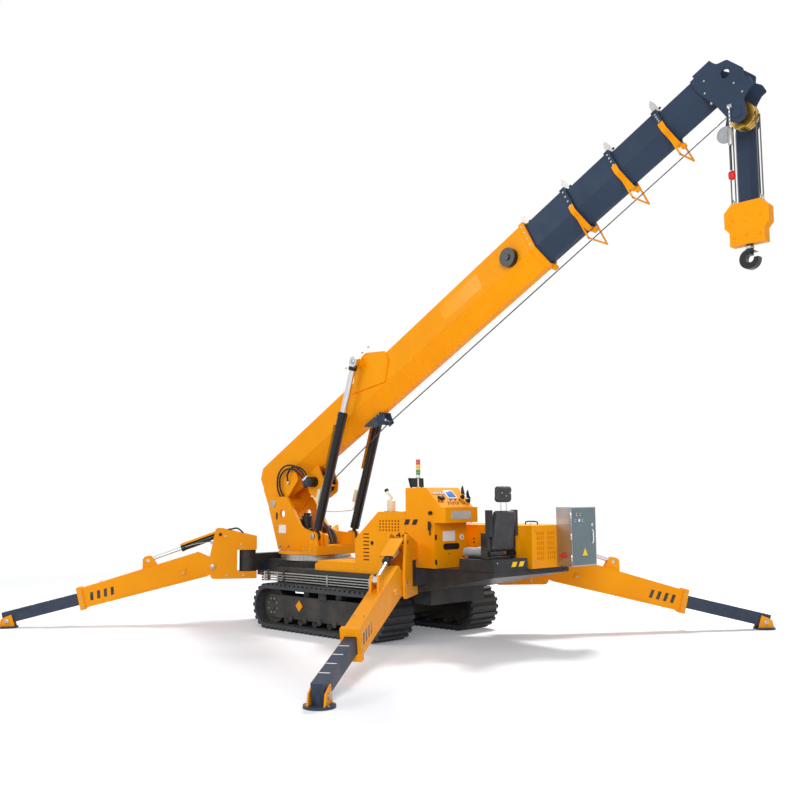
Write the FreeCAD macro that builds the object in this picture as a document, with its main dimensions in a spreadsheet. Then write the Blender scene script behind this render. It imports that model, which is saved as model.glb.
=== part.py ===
import FreeCAD, Part
import math
import os
import re
import Sketcher

# Tracked spider crane on four spread outriggers, in millimetres.
# Machine frame: X forward, Y left, Z up, floor at Z = 0, X = Y = 0 midway between the tracks.
# The row frame has its origin in the middle of the whole crane's outline, on the floor.
SIZES = [
    # Row frame: where the point midway between the tracks lies
    ("OriginX", 922.03), ("OriginY", -128.64),
    # Running clearances
    ("SeatGap", 0.3), ("PinGap", 0.3), ("SideGap", 6), ("SlideGap", 5),
    # Rubber tracks
    ("TrackLength", 2660), ("TrackHeight", 610), ("TrackWidth", 510), ("TrackClear", 45),
    ("BeltThick", 42), ("LugHeight", 28), ("LugLength", 46), ("LugPitch", 95), ("LugSink", 4),
    # Track frames, wheels and rollers
    ("FrameLap", 60), ("FrameBottom", 190), ("FrameTop", 430), ("FrameWidth", 260),
    ("PlateRadius", 150), ("PlateThick", 20), ("WheelWidth", 230), ("AxleRadius", 38),
    ("RollerRadius", 52), ("RollerPitch", 300), ("RollerWidth", 240), ("TopRollerX", 330),
    # Chassis
    ("SpineFront", 1500), ("SpineRear", -1560), ("SpineWide", 980), ("SpineBottom", 450),
    ("SpineTop", 800), ("DeckFront", 1150), ("DeckRear", -1150), ("DeckWide", 1540),
    ("DeckBottom", 665), ("TailWide", 1400), ("TailBottom", 620), ("TailTop", 915),
    ("TailRear", -2740), ("TailTip", 850),
    ("CrossTubeX", 620), ("CrossTubeLong", 160), ("CrossTubeBottom", 250), ("CrossTubeTop", 400),
    ("PedestalFront", 2060), ("PedestalRear", 560), ("PedestalWide", 900), ("PedestalBottom", 640),
    # Outrigger pivots on the chassis
    ("FrontPivotX", 1930), ("FrontPivotY", 720), ("RearPivotX", -1580), ("RearPivotY", 930),
    ("PivotBottom", 722), ("PivotTop", 1016), ("PivotRadius", 118), ("PivotPin", 42),
    ("ArmBoxWide", 190), ("RearArmTop", 905),
    # Slewing ring and turntable
    ("SlewX", 1240), ("RingBottom", 880), ("RingTop", 962), ("RingRadius", 500),
    ("FlangeRadius", 540), ("FlangeBottom", 968), ("FlangeTop", 1012),
    ("CheekInner", 226), ("CheekThick", 40), ("CheekRound", 110),
    ("RearBoxFront", 1010), ("RearBoxRear", 690), ("RearBoxTop", 1090), ("RearBoxWide", 860),
    ("SlewMotorX", 1330), ("SlewMotorY", 95), ("SlewMotorRadius", 78), ("SlewMotorTop", 1490),
    ("SlewBrakeRadius", 52), ("SlewBrakeTop", 1545),
    # Boom foot pin and boom angle at rest
    ("FootX", 1927), ("FootZ", 1675), ("FootPin", 45), ("BoomAngle", 28.14),
    # Boom sections: the first one, the step from one to the next, and the walls
    ("BoomHalf", 205), ("BoomTop", 645), ("BoomBottom", 65), ("BoomFacet", 215), ("BoomFloor", 50),
    ("BoomStep", 20), ("BoomDrop", 28), ("FloorStep", 9),
    ("BoomWall", 8), ("FootPlate", 18), ("FootSink", 6), ("FootPlateLong", 640), ("BoomTail", 172), ("BoomTailCut", 120),
    ("BaseEnd", 5780), ("StageReach", 655), ("StageLap", 400), ("StageTail", 760),
    ("CollarLong", 70), ("CollarThick", 14), ("HeadReach", -20),
    ("LoopRod", 14), ("LoopInset", 10), ("LoopDeep", 385), ("LoopTop", 252), ("LoopHalf", 220),
    ("PadLong", 120), ("PadWide", 160), ("PadLow", 350), ("PadHigh", 500),
    # Lift cylinders
    ("LiftY", 345), ("LiftBaseX", 813), ("LiftBaseZ", 1228), ("LiftEyeU", 2616), ("LiftEyeV", 800),
    ("LiftBarrelRadius", 66), ("LiftRodRadius", 42), ("LiftEyeRadius", 74), ("LiftEyeWide", 56),
    ("LiftBarrelLong", 1790), ("LiftPin", 36), ("LiftInset", 2), ("LiftNeck", 105),
    ("LugPlate", 26), ("LiftRodInner", 830), ("LiftBoreEnd", 250),
    # Cylinder bracket across the boom
    ("BracketRear", 2240), ("BracketFront", 3090), ("BracketTop", 860), ("BracketSkirt", 300),
    ("BracketPlate", 22),
    # Rope guide below the boom, winch, reel
    ("GuideU", 2450), ("GuideDrop", 125), ("GuideRadius", 34), ("GuideWide", 170), ("GuidePlate", 14),
    ("WinchU", 880), ("WinchDrop", 175), ("DrumRadius", 105), ("DrumFlange", 170), ("DrumWide", 230),
    ("WinchPlate", 18), ("WinchMotorRadius", 75), ("WinchMotorLong", 128),
    ("ReelU", 5420), ("ReelV", 400), ("ReelRadius", 115), ("ReelWide", 70),
    # Boom head, sheaves, jib
    ("HeadPlate", 24), ("CheekStart", 8180), ("SheaveU", 8388), ("SheaveV", -120), ("SheaveRadius", 135),
    ("SheaveWide", 34), ("SheavePin", 32), ("SheavePitch", 44),
    ("EarU", 8500), ("EarV", 322), ("EarBore", 50),
    ("JibX", 140), ("JibZ", 60), ("JibY", 345), ("JibWide", 250), ("JibLong", 1050),
    ("JibWall", 10), ("JibPinRadius", 34), ("JibEyeRadius", 95),
    # Hoist falls and hook block
    ("RopeRadius", 7), ("BlockTop", 4640), ("BlockTall", 430), ("BlockWide", 460),
    ("BlockThick", 110), ("BlockChamfer", 80), ("BlockWaist", 360), ("HookShank", 34), ("HookRadius", 100),
    ("HookThick", 36), ("HookDrop", 150),
    # Engine hood, side hood, console
    ("HoodRear", -2756), ("HoodFront", -620), ("HoodLeft", 30), ("HoodRight", -720),
    ("HoodTop", 1412), ("HoodWall", 12),
    ("GrilleRight", -400), ("GrilleLow", 1010), ("GrilleColumn", 205), ("GrilleRow", 58),
    ("SlotPitch", 38), ("SlotWide", 16), ("SlotTall", 40),
    ("VentRear", -1250), ("VentLow", 1340), ("VentPitch", 55), ("VentRise", 38), ("VentWide", 26),
    ("VentTall", 22), ("VentDeep", 12),
    ("LouvreRear", -705), ("LouvreLow", 965),
    ("LouvrePitch", 46), ("LouvreLong", 115), ("LouvreTall", 16),
    ("EngineFront", -1250), ("EngineRear", -2300), ("EngineTop", 1340), ("EngineWide", 520),
    ("SideFront", -435), ("SideRear", -1362), ("SideInner", 235), ("SideOuter", 720),
    ("SideShoulder", 1231), ("SideTop", 1577), ("SideSlope", -874),
    ("ConsoleInner", 150), ("ConsoleFront", -1368), ("ConsoleBody", -1850), ("ConsoleTopRear", -1720),
    ("ConsoleBox", -2030), ("ConsoleBoxTop", 1632), ("ConsoleBoxBottom", 1450),
    ("ConsoleTop", 1868), ("ConsolePanelRear", -1960),
    ("CoverFront", 375), ("CoverRear", -430), ("CoverTop", 930), ("CoverShoulder", 880),
    # Lamp stack and visor
    ("LampX", -1470), ("LampY", 600), ("LampRadius", 26), ("LampTop", 2222), ("LampPole", 9),
    ("LampBody", 1990),
    # Operator's seat and its box
    ("SeatBoxRear", -2756), ("SeatBoxFront", -2240), ("SeatBoxInner", 120), ("SeatBoxTop", 1045),
    ("SeatY", 400), ("SeatFront", -2140), ("SeatBack", -2630), ("SeatWide", 400),
    ("CushionBottom", 1070), ("CushionTop", 1170), ("BackThick", 110), ("BackTop", 1610),
    ("BackRake", 90), ("HeadrestWide", 270), ("HeadrestBottom", 1680), ("HeadrestTop", 1880),
    ("ArmrestWide", 50), ("ArmrestLow", 1300), ("ArmrestTop", 1600), ("ArmrestThick", 70),
    # Switch cabinet
    ("CabinetRear", -2976), ("CabinetRight", -949), ("CabinetLeft", -449), ("CabinetBottom", 923),
    ("CabinetTop", 1623), ("CabinetWall", 4), ("DoorThick", 22), ("DoorGap", 2),
    # Pipes along the left side
    ("PipeOut", 30), ("PipeRadius", 11), ("PipeFront", 1400), ("PipeRear", -900),
    ("PipeBottom", 628), ("PipePitch", 34),
    # Outriggers: head, outer box, inner arm
    ("HeadHalf", 112), ("HeadRear", 130), ("HeadFloor", 612), ("HeadHigh", 1335),
    ("HeadBack", 1215), ("HeadSlotDepth", 150), ("ForkHalf", 84), ("ForkRear", 190),
    ("LegPivotS", 500), ("LegPivotZ", 790), ("LegPin", 38), ("LegSlope", 13.5),
    ("LegBoxHalf", 78), ("LegBoxBottom", -117), ("LegBoxRootTop", 250), ("LegBoxEndTop", 160),
    ("LegBoxRoot", 150), ("LegBoxEnd", 1890), ("LegWall", 12), ("LegCollar", 70),
    ("LegCollarThick", 22), ("ArmCentre", 20), ("ArmHalfHigh", 82), ("ArmHalfWide", 56),
    ("ArmRear", 760), ("ArmEnd", 2920), ("ArmRetract", 540), ("RearRightReach", 100),
    ("FootTop", 60), ("FootHalf", 140), ("FootThick", 24), ("FootNeck", 55),
    # Outrigger cylinders
    ("LegPinA", -211), ("LegPinB", 419), ("LegLugA", 860), ("LegLugB", 310),
    ("LegCylRadius", 48), ("LegRodRadius", 26), ("LegCylLong", 585), ("LegCylPin", 24),
    ("LegRodInner", 500), ("LegBoreEnd", 120),
    ("LegEyeRadius", 44), ("LegEyeWide", 62), ("LegLugPlate", 20), ("LegLugRound", 60),
    ("CoverWide", 150), ("CoverThick", 5), ("CoverLift", 8), ("CoverClamp", 36),
    # Headings of the outriggers at rest, anticlockwise from straight ahead
    ("HeadingFrontLeft", 55.9), ("HeadingRearLeft", 122.6),
    ("HeadingRearRight", -132.9), ("HeadingFrontRight", -55.9),
]

# Outriggers: name, pivot X, pivot Y, heading, extra reach of the inner arm
LEGS = [
    ("front_left", "FrontPivotX", "FrontPivotY", "HeadingFrontLeft", "0"),
    ("rear_left", "RearPivotX", "RearPivotY", "HeadingRearLeft", "0"),
    ("rear_right", "RearPivotX", "-RearPivotY", "HeadingRearRight", "RearRightReach"),
    ("front_right", "FrontPivotX", "-FrontPivotY", "HeadingFrontRight", "0"),
]
BOOM_STAGES = 5

doc = FreeCAD.newDocument("SpiderCrane")
sheet = doc.addObject("Spreadsheet::Sheet", "Sizes")
for row, (alias, size) in enumerate(SIZES, start=1):
    sheet.set("A%d" % row, alias)
    sheet.set("B%d" % row, str(size))
    sheet.setAlias("B%d" % row, alias)
doc.recompute()

NODES = []


def formula(text):
    """Point every size name in a formula at its cell of the sheet."""
    return re.sub(r"\b([A-Z]\w+)\b", r"Sizes.\1", str(text))


def size(text):
    """Value of a formula with the sheet's present sizes."""
    return float(sheet.evalExpression(formula(text)))


def bind(feature, **formulas):
    """Tie properties of a feature to formulas of the sheet."""
    for name, text in formulas.items():
        feature.setExpression(name, formula(text))
    return feature


def place(feature, x="0", y="0", z="0", yaw="0", pitch="0", roll="0"):
    """Give a feature a placement worked out from the sheet."""
    text = "placement(vector(%s; %s; %s); rotation(%s; %s; %s))" % (x, y, z, yaw, pitch, roll)
    feature.setExpression("Placement", formula(text))
    return feature


def node(feature, name, x="0", y="0", z="0", yaw="0", pitch="0", roll="0"):
    """Make a feature a sub-part of the crane, placed in the row frame from machine coordinates."""
    place(feature, "OriginX + " + x, "OriginY + " + y, z, yaw, pitch, roll)
    feature.Label = name
    NODES.append(feature)
    return feature


def box(name, x, y, z):
    """Block between two formulas along each axis."""
    block = doc.addObject("Part::Box", name)
    spans = ["(%s) - (%s)" % (high, low) for low, high in (x, y, z)]
    bind(block, Length=spans[0], Width=spans[1], Height=spans[2])
    return place(block, x[0], y[0], z[0])


def rod(name, axis, at, radius, low, high):
    """Cylinder along an axis, from one formula to another, through a point in the plane across it."""
    bar = doc.addObject("Part::Cylinder", name)
    bind(bar, Radius=radius, Height="(%s) - (%s)" % (high, low))
    if axis == "X":
        return place(bar, low, at[0], at[1], pitch="90")
    if axis == "Y":
        return place(bar, at[0], low, at[1], roll="-90")
    return place(bar, at[0], at[1], low)


def fuse(name, *parts):
    """One solid of several touching ones."""
    union = doc.addObject("Part::MultiFuse", name)
    union.Shapes = list(parts)
    union.Refine = True
    return union


def cut(name, base, *tools):
    """A solid less its openings."""
    result = doc.addObject("Part::Cut", name)
    result.Base = base
    result.Tool = tools[0] if len(tools) == 1 else fuse(name + "Openings", *tools)
    result.Refine = True
    return result


def group(name, *parts):
    """Like pieces of one body, side by side."""
    compound = doc.addObject("Part::Compound", name)
    compound.Links = list(parts)
    return compound


def add_loop(sketch, loop):
    """Draw one closed loop: a circle (centre, radius) or corners "x; z" or "x; z; rounding"."""
    if isinstance(loop, tuple):
        centre, radius = loop
        x, z = centre.split(";")
        at = FreeCAD.Vector(size(x), size(z), 0)
        circle = sketch.addGeometry(Part.Circle(at, FreeCAD.Vector(0, 0, 1), size(radius)), False)
        for kind, text in (("DistanceX", x), ("DistanceY", z)):
            index = sketch.addConstraint(Sketcher.Constraint(kind, -1, 1, circle, 3, size(text)))
            sketch.setExpression("Constraints[%d]" % index, formula(text))
        index = sketch.addConstraint(Sketcher.Constraint("Radius", circle, size(radius)))
        sketch.setExpression("Constraints[%d]" % index, formula(radius))
        return
    corners = [point.split(";")[:2] for point in loop]
    places = [FreeCAD.Vector(size(x), size(z), 0) for x, z in corners]
    count = len(corners)
    lines = [sketch.addGeometry(Part.LineSegment(places[i], places[(i + 1) % count]), False)
             for i in range(count)]
    for i in range(count):
        sketch.addConstraint(Sketcher.Constraint("Coincident", lines[i], 2, lines[(i + 1) % count], 1))
    for line, at, texts in zip(lines, places, corners):
        for kind, number, text in zip(("DistanceX", "DistanceY"), at, texts):
            index = sketch.addConstraint(Sketcher.Constraint(kind, -1, 1, line, 1, number))
            sketch.setExpression("Constraints[%d]" % index, formula(text))


def add_stadium(sketch, half, level, radius):
    """Draw a loop of two half rounds at X = +-half and the straight runs between them."""
    turn = math.pi / 2
    arcs = []
    for side, start in ((1, -turn), (-1, turn)):
        centre = FreeCAD.Vector(side * size(half), size(level), 0)
        circle = Part.Circle(centre, FreeCAD.Vector(0, 0, 1), size(radius))
        arc = sketch.addGeometry(Part.ArcOfCircle(circle, start, start + math.pi), False)
        arcs.append(arc)
        formulas = (("DistanceX", (-1, 1, arc, 3), "%d*(%s)" % (side, half)),
                    ("DistanceY", (-1, 1, arc, 3), level), ("Radius", (arc,), radius))
        for kind, where, text in formulas:
            index = sketch.addConstraint(Sketcher.Constraint(kind, *where, size(text)))
            sketch.setExpression("Constraints[%d]" % index, formula(text))
        for end in (1, 2):
            sketch.addConstraint(Sketcher.Constraint("Vertical", arc, end, arc, 3))
    for first, second in ((0, 1), (1, 0)):
        ends = []
        for arc, end in ((arcs[first], 2), (arcs[second], 1)):
            ends.append(sketch.getPoint(arc, end))
        line = sketch.addGeometry(Part.LineSegment(*ends), False)
        sketch.addConstraint(Sketcher.Constraint("Coincident", arcs[first], 2, line, 1))
        sketch.addConstraint(Sketcher.Constraint("Coincident", line, 2, arcs[second], 1))


def new_sketch(body, name, plane, level="0", x="0", z="0"):
    """Sketch on one of the body's own planes, moved to a level along +Z, -Y or +X."""
    origin = {feature.Role: feature for feature in body.Origin.OriginFeatures}
    sketch = body.newObject("Sketcher::SketchObject", name)
    sketch.AttachmentSupport = [(origin[plane + "_Plane"], "")]
    sketch.MapMode = "FlatFace"
    sign = "-" if plane == "XZ" else ""
    for key, text in (("x", x), ("y", z), ("z", "%s(%s)" % (sign, level))):
        sketch.setExpression("AttachmentOffset.Base." + key, formula(text))
    return sketch


def round_corners(body, name, plane, loop):
    """Round the upright edges at the corners of a loop that state a rounding."""
    wanted = {}
    for point in loop:
        if isinstance(point, str) and point.count(";") == 2:
            x, z, rounding = point.split(";")
            wanted.setdefault(rounding.strip(), []).append((size(x), size(z)))
    across = {"XY": (0, 1), "XZ": (0, 2), "YZ": (1, 2)}[plane]
    for number, (rounding, corners) in enumerate(wanted.items()):
        doc.recompute()
        edges = []
        for index, edge in enumerate(body.Shape.Edges, start=1):
            ends = [[vertex.Point[axis] for axis in across] for vertex in edge.Vertexes]
            if len(ends) == 2 and math.dist(*ends) < 1e-6:
                if any(math.dist(ends[0], corner) < 1e-4 for corner in corners):
                    edges.append("Edge%d" % index)
        base = body.Tip
        fillet = body.newObject("PartDesign::Fillet", "%sRound%d" % (name, number))
        fillet.Base = (base, edges)
        bind(fillet, Radius=rounding)
        body.Tip = fillet


def prism(name, plane, middle, width, *loops):
    """Body that extends one outline, less any loops inside it, evenly to both sides of a level."""
    body = doc.addObject("PartDesign::Body", name)
    sketch = new_sketch(body, name + "Outline", plane, middle)
    for loop in loops:
        add_loop(sketch, loop)
    pad = body.newObject("PartDesign::Pad", name + "Pad")
    pad.Profile = sketch
    pad.SideType = "Symmetric"
    bind(pad, Length=width)
    body.Tip = pad
    round_corners(body, name, plane, loops[0])
    return body


def pocket(body, name, plane, middle, width, *loops):
    """Cut outlines out of a body, evenly to both sides of a level."""
    sketch = new_sketch(body, name, plane, middle)
    for loop in loops:
        add_loop(sketch, loop)
    feature = body.newObject("PartDesign::Pocket", name + "Pocket")
    feature.Profile = sketch
    feature.SideType = "Symmetric"
    bind(feature, Length=width)
    body.Tip = feature
    return feature


def rectangle(low_x, low_z, high_x, high_z):
    """Corners of an upright rectangle."""
    return ["%s; %s" % (low_x, low_z), "%s; %s" % (high_x, low_z),
            "%s; %s" % (high_x, high_z), "%s; %s" % (low_x, high_z)]


# Rubber tracks: one belt with its lugs, used on both sides
WHEEL_X = "(TrackLength/2 - TrackHeight/2)"
WHEEL_Z = "(TrackHeight/2)"
BELT_OUTER = "(TrackHeight/2 - LugHeight)"
BELT_INNER = "(TrackHeight/2 - LugHeight - BeltThick)"
TRACK_Y = "(SpineWide/2 + TrackClear + TrackWidth/2)"
FRAME_END = "(%s - %s + FrameLap)" % (WHEEL_X, BELT_INNER)


def track_belt():
    """Belt loop whose lugs are spread along both runs and round both ends."""
    body = doc.addObject("PartDesign::Body", "Belt")
    outline = new_sketch(body, "BeltOutline", "XZ")
    add_stadium(outline, WHEEL_X, WHEEL_Z, BELT_OUTER)
    add_stadium(outline, WHEEL_X, WHEEL_Z, BELT_INNER)
    pad = body.newObject("PartDesign::Pad", "BeltPad")
    pad.Profile = outline
    pad.SideType = "Symmetric"
    bind(pad, Length="TrackWidth")
    # Ends of the belt: name, wheel's side, side of the first lug, above (1) or below (-1)
    for name, side, level in (("Front", 1, -1), ("Rear", -1, 1)):
        lug = new_sketch(body, name + "Lug", "XZ", x="%d*%s" % (side, WHEEL_X), z=WHEEL_Z)
        foot = "%d*(%s - LugSink)" % (level, BELT_OUTER)
        tip = "%d*TrackHeight/2" % level
        low, high = (tip, foot) if level < 0 else (foot, tip)
        add_loop(lug, rectangle("-LugLength/2", low, "LugLength/2", high))
        first = body.newObject("PartDesign::Pad", name + "LugPad")
        first.Profile = lug
        first.SideType = "Symmetric"
        bind(first, Length="TrackWidth")
        run = body.newObject("PartDesign::LinearPattern", name + "Run")
        run.Originals = [first]
        run.Direction = (lug, ["H_Axis"])
        run.Reversed = side > 0
        bind(run, Length="2*" + WHEEL_X, Occurrences="round(2*%s/LugPitch) + 1" % WHEEL_X)
        body.Tip = run
        turn = body.newObject("PartDesign::PolarPattern", name + "Turn")
        turn.Originals = [first]
        turn.Axis = (lug, ["N_Axis"])
        bind(turn, Angle="180", Occurrences="round(3.1416*%s/LugPitch) + 1" % WHEEL_Z)
        body.Tip = turn
    return body


def track_frame():
    """Roller frame inside the belt, with idler, drive wheel and rollers on their axles."""
    beam = box("FrameBeam", ("-" + FRAME_END, FRAME_END), ("-FrameWidth/2", "FrameWidth/2"),
               ("FrameBottom", "FrameTop"))
    pieces = [beam]
    for name, side in (("Outer", 1), ("Inner", -1)):
        plate = doc.addObject("PartDesign::Body", name + "SidePlate")
        level = "%d*(FrameWidth/2 + PlateThick/2)" % side
        outline = new_sketch(plate, name + "PlateOutline", "XZ", level)
        add_stadium(outline, WHEEL_X, WHEEL_Z, "PlateRadius")
        pad = plate.newObject("PartDesign::Pad", name + "PlatePad")
        pad.Profile = outline
        pad.SideType = "Symmetric"
        bind(pad, Length="PlateThick")
        pieces.append(plate)
    for name, side in (("Idler", 1), ("Drive", -1)):
        centre = ("%d*%s" % (side, WHEEL_X), WHEEL_Z)
        pieces.append(rod(name + "Wheel", "Y", centre, BELT_INNER + " - SeatGap",
                          "-WheelWidth/2", "WheelWidth/2"))
        pieces.append(rod(name + "Axle", "Y", centre, "AxleRadius",
                          "-FrameWidth/2 - PlateThick - 8", "FrameWidth/2 + PlateThick + 8"))
    low = "TrackHeight/2 - %s + RollerRadius + SeatGap" % BELT_INNER
    high = "TrackHeight/2 + %s - RollerRadius - SeatGap" % BELT_INNER
    # Rollers: name, place along the frame, height
    rollers = [("Bottom%d" % i, "(%g)*RollerPitch" % (i - 2.5), low) for i in range(6)]
    rollers += [("TopRear", "-TopRollerX", high), ("TopFront", "TopRollerX", high)]
    for name, x, z in rollers:
        pieces.append(rod(name + "Roller", "Y", (x, z), "RollerRadius",
                          "-RollerWidth/2", "RollerWidth/2"))
        span = (z, "FrameBottom + 5") if name.startswith("Bottom") else ("FrameTop - 5", z)
        pieces.append(box(name + "Bracket", (x + " - AxleRadius/2", x + " + AxleRadius/2"),
                          ("-FrameWidth/2", "FrameWidth/2"), span))
    return fuse("TrackFrame", *pieces)


belt = track_belt()
roller_frame = track_frame()
for side_name, side_y in (("left", TRACK_Y), ("right", "-" + TRACK_Y)):
    node(group("Belt_" + side_name, belt), "track_" + side_name, y=side_y)
    node(group("Frame_" + side_name, roller_frame), "track_frame_" + side_name, y=side_y)


# Chassis: spine between the tracks, deck over them, tail, pedestal, arms to the outrigger pivots
def chassis():
    """Welded main frame of the carrier with the four pivot barrels of the outriggers."""
    half_gauge = "(%s - FrameWidth/2 - PlateThick)" % TRACK_Y
    pieces = [
        box("Spine", ("SpineRear", "SpineFront"), ("-SpineWide/2", "SpineWide/2"),
            ("SpineBottom", "SpineTop")),
        box("Deck", ("DeckRear", "DeckFront"), ("-DeckWide/2", "DeckWide/2"),
            ("DeckBottom", "SpineTop")),
        prism("Tail", "XZ", "0", "TailWide",
              ["ConsoleFront; TailBottom", "ConsoleFront; TailTop", "TailRear; TailTop",
               "TailRear; TailTip", "SpineRear; TailBottom"]),
        box("Pedestal", ("PedestalRear", "PedestalFront"), ("-PedestalWide/2", "PedestalWide/2"),
            ("PedestalBottom", "RingBottom")),
    ]
    for name, side in (("Front", 1), ("Rear", -1)):
        middle = "%d*CrossTubeX" % side
        pieces.append(box(name + "CrossTube", (middle + " - CrossTubeLong/2", middle + " + CrossTubeLong/2"),
                          ("-" + half_gauge, half_gauge), ("CrossTubeBottom", "CrossTubeTop")))
        pieces.append(box(name + "Hanger", (middle + " - CrossTubeLong/2", middle + " + CrossTubeLong/2"),
                          ("-SpineWide/2", "SpineWide/2"), ("CrossTubeBottom", "SpineBottom + 1")))
    bores = []
    for name, x, y, _, _ in LEGS:
        front = name.startswith("front")
        top = "RingTop" if front else "RearArmTop"
        inner = "0"
        side = 1 if name.endswith("left") else -1
        spans = (inner, y) if side > 0 else (y, inner)
        pieces.append(box("Arm_" + name, (x + " - ArmBoxWide/2", x + " + ArmBoxWide/2"), spans,
                          ("PivotBottom", top)))
        pieces.append(rod("Barrel_" + name, "Z", (x, y), "PivotRadius", "PivotBottom", "PivotTop"))
        bores.append(rod("Bore_" + name, "Z", (x, y), "PivotPin + PinGap",
                         "PivotBottom - 1", "PivotTop + 1"))
    return cut("Chassis", fuse("ChassisBody", *pieces), *bores)


node(chassis(), "chassis_frame")

ring = rod("SlewRing", "Z", ("SlewX", "0"), "RingRadius", "RingBottom", "RingTop")
node(fuse("Ring", ring, rod("RingSpigot", "Z", ("SlewX", "0"), "RingRadius - 60", "RingBottom", "FlangeBottom - SeatGap")), "slewing_ring")

# Pipes along the left side
PIPE_Y = "(DeckWide/2 + PipeOut)"
pipes = [rod("Pipe%d" % i, "X", (PIPE_Y + "", "PipeBottom + %d*PipePitch" % i), "PipeRadius",
             "PipeRear", "PipeFront") for i in range(4)]
clips = [box("PipeClip%d" % i, (x, x + " + 30"), ("DeckWide/2 + SeatGap", PIPE_Y + " + PipeRadius + 4"),
             ("PipeBottom - 18", "PipeBottom + 3*PipePitch + 18"))
         for i, x in enumerate(("PipeRear + 80", "PipeRear + 900", "DeckFront - 80"))]
node(fuse("Pipes", *pipes, *clips), "side_pipes")

# Hoods: engine hood with its engine, side hood, low cover
hood_outer = box("HoodOuter", ("HoodRear", "HoodFront"), ("HoodRight", "HoodLeft"),
                 ("TailTop + SeatGap", "HoodTop"))
hood_inner = box("HoodInner", ("HoodRear + HoodWall", "HoodFront - HoodWall"),
                 ("HoodRight + HoodWall", "HoodLeft - HoodWall"),
                 ("TailTop", "HoodTop - HoodWall"))
slots = []
for row in range(6):
    for slot in range(8):
        low_y = "GrilleRight + %d*GrilleColumn + %d*SlotPitch" % (slot // 4, slot % 4)
        low_z = "GrilleLow + %d*GrilleRow" % row
        slots.append(box("Slot%d_%d" % (row, slot), ("HoodRear - 1", "HoodRear + HoodWall + 1"),
                         (low_y, low_y + " + SlotWide"), (low_z, low_z + " + SlotTall")))
node(cut("EngineHood", cut("HoodShell", hood_outer, hood_inner), group("HoodSlots", *slots)), "engine_hood")
node(box("EngineBlock", ("EngineRear", "EngineFront"),
         ("(HoodRight + HoodLeft)/2 - EngineWide/2", "(HoodRight + HoodLeft)/2 + EngineWide/2"),
         ("TailTop + SeatGap", "EngineTop")), "engine_block",
     x="EngineRear", y="(HoodRight + HoodLeft)/2 - EngineWide/2", z="TailTop + SeatGap")

side_hood = prism("SideHood", "XZ", "(SideInner + SideOuter)/2", "SideOuter - SideInner",
                  ["SideRear; SpineTop + SeatGap", "SideFront; SpineTop + SeatGap", "SideFront; SideShoulder",
                   "SideSlope; SideTop", "SideRear; SideTop"])
vents = []
for number in range(28):
    low_x = "VentRear + %d*VentPitch" % (number % 7)
    low_z = "VentLow + %d*VentRise" % (number // 7)
    vents.append(box("Vent%d" % number, (low_x, low_x + " + VentWide"), ("SideOuter - VentDeep", "SideOuter + 1"),
                     (low_z, low_z + " + VentTall")))
for number in range(8):
    low_z = "LouvreLow + %d*LouvrePitch" % number
    vents.append(box("Louvre%d" % number, ("LouvreRear", "LouvreRear + LouvreLong"),
                     ("SideOuter - VentDeep", "SideOuter + 1"), (low_z, low_z + " + LouvreTall")))
node(cut("SideHoodVented", side_hood, group("SideVents", *vents)), "side_hood")
node(prism("LowCover", "XZ", "(SideInner + SideOuter)/2", "SideOuter - SideInner",
           ["CoverRear; SpineTop + SeatGap", "CoverFront; SpineTop + SeatGap", "CoverFront; CoverShoulder",
            "CoverFront - 90; CoverTop", "CoverRear; CoverTop"]), "low_cover")

# Operator's console with its sloping panel, visor and lamp stack
node(prism("Console", "XZ", "(ConsoleInner + SideOuter)/2", "SideOuter - ConsoleInner",
           ["ConsoleBody; TailTop + SeatGap", "ConsoleFront; TailTop + SeatGap",
            "ConsoleFront; ConsoleTop", "ConsoleTopRear; ConsoleTop",
            "ConsolePanelRear; ConsoleBoxTop", "ConsoleBox; ConsoleBoxTop",
            "ConsoleBox; ConsoleBoxBottom", "ConsoleBody; ConsoleBoxBottom"]), "console")
node(fuse("LampStack",
          rod("LampFoot", "Z", ("LampX", "LampY"), "LampRadius", "ConsoleTop + SeatGap", "ConsoleTop + 12"),
          rod("LampPost", "Z", ("LampX", "LampY"), "LampPole", "ConsoleTop + SeatGap", "LampBody + 5"),
          rod("LampTower", "Z", ("LampX", "LampY"), "LampRadius", "LampBody", "LampTop")), "lamp_stack")

# Seat on its box
node(box("SeatBox", ("SeatBoxRear", "SeatBoxFront"), ("SeatBoxInner", "SideOuter"),
         ("TailTop + SeatGap", "SeatBoxTop")), "seat_box",
     x="SeatBoxRear", y="SeatBoxInner", z="TailTop + SeatGap")
node(box("Cushion", ("SeatBack + BackThick", "SeatFront"), ("SeatY - SeatWide/2", "SeatY + SeatWide/2"),
         ("CushionBottom", "CushionTop")), "seat_cushion",
     x="SeatBack + BackThick", y="SeatY - SeatWide/2", z="CushionBottom")
backrest = prism("Backrest", "XZ", "SeatY", "SeatWide",
                 ["SeatBack; CushionBottom + 40; BackThick/3",
                  "SeatBack + BackThick - SeatGap; CushionBottom + 40; BackThick/3",
                  "SeatBack + BackThick - BackRake; BackTop; BackThick/3",
                  "SeatBack - BackRake; BackTop; BackThick/3"])
headrest = prism("Headrest", "XZ", "SeatY", "HeadrestWide",
                 ["SeatBack - BackRake; HeadrestBottom; BackThick/3",
                  "SeatBack - BackRake + BackThick; HeadrestBottom; BackThick/3",
                  "SeatBack - BackRake + BackThick; HeadrestTop; BackThick/3",
                  "SeatBack - BackRake; HeadrestTop; BackThick/3"])
posts = [rod("HeadrestPost%d" % i, "Z", ("SeatBack - BackRake + BackThick/2", "SeatY + (%d)*50" % side),
             "7", "BackTop - 40", "HeadrestBottom + 40") for i, side in enumerate((-1, 1))]
node(fuse("SeatBackrest", backrest, headrest, *posts), "seat_back")
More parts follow.
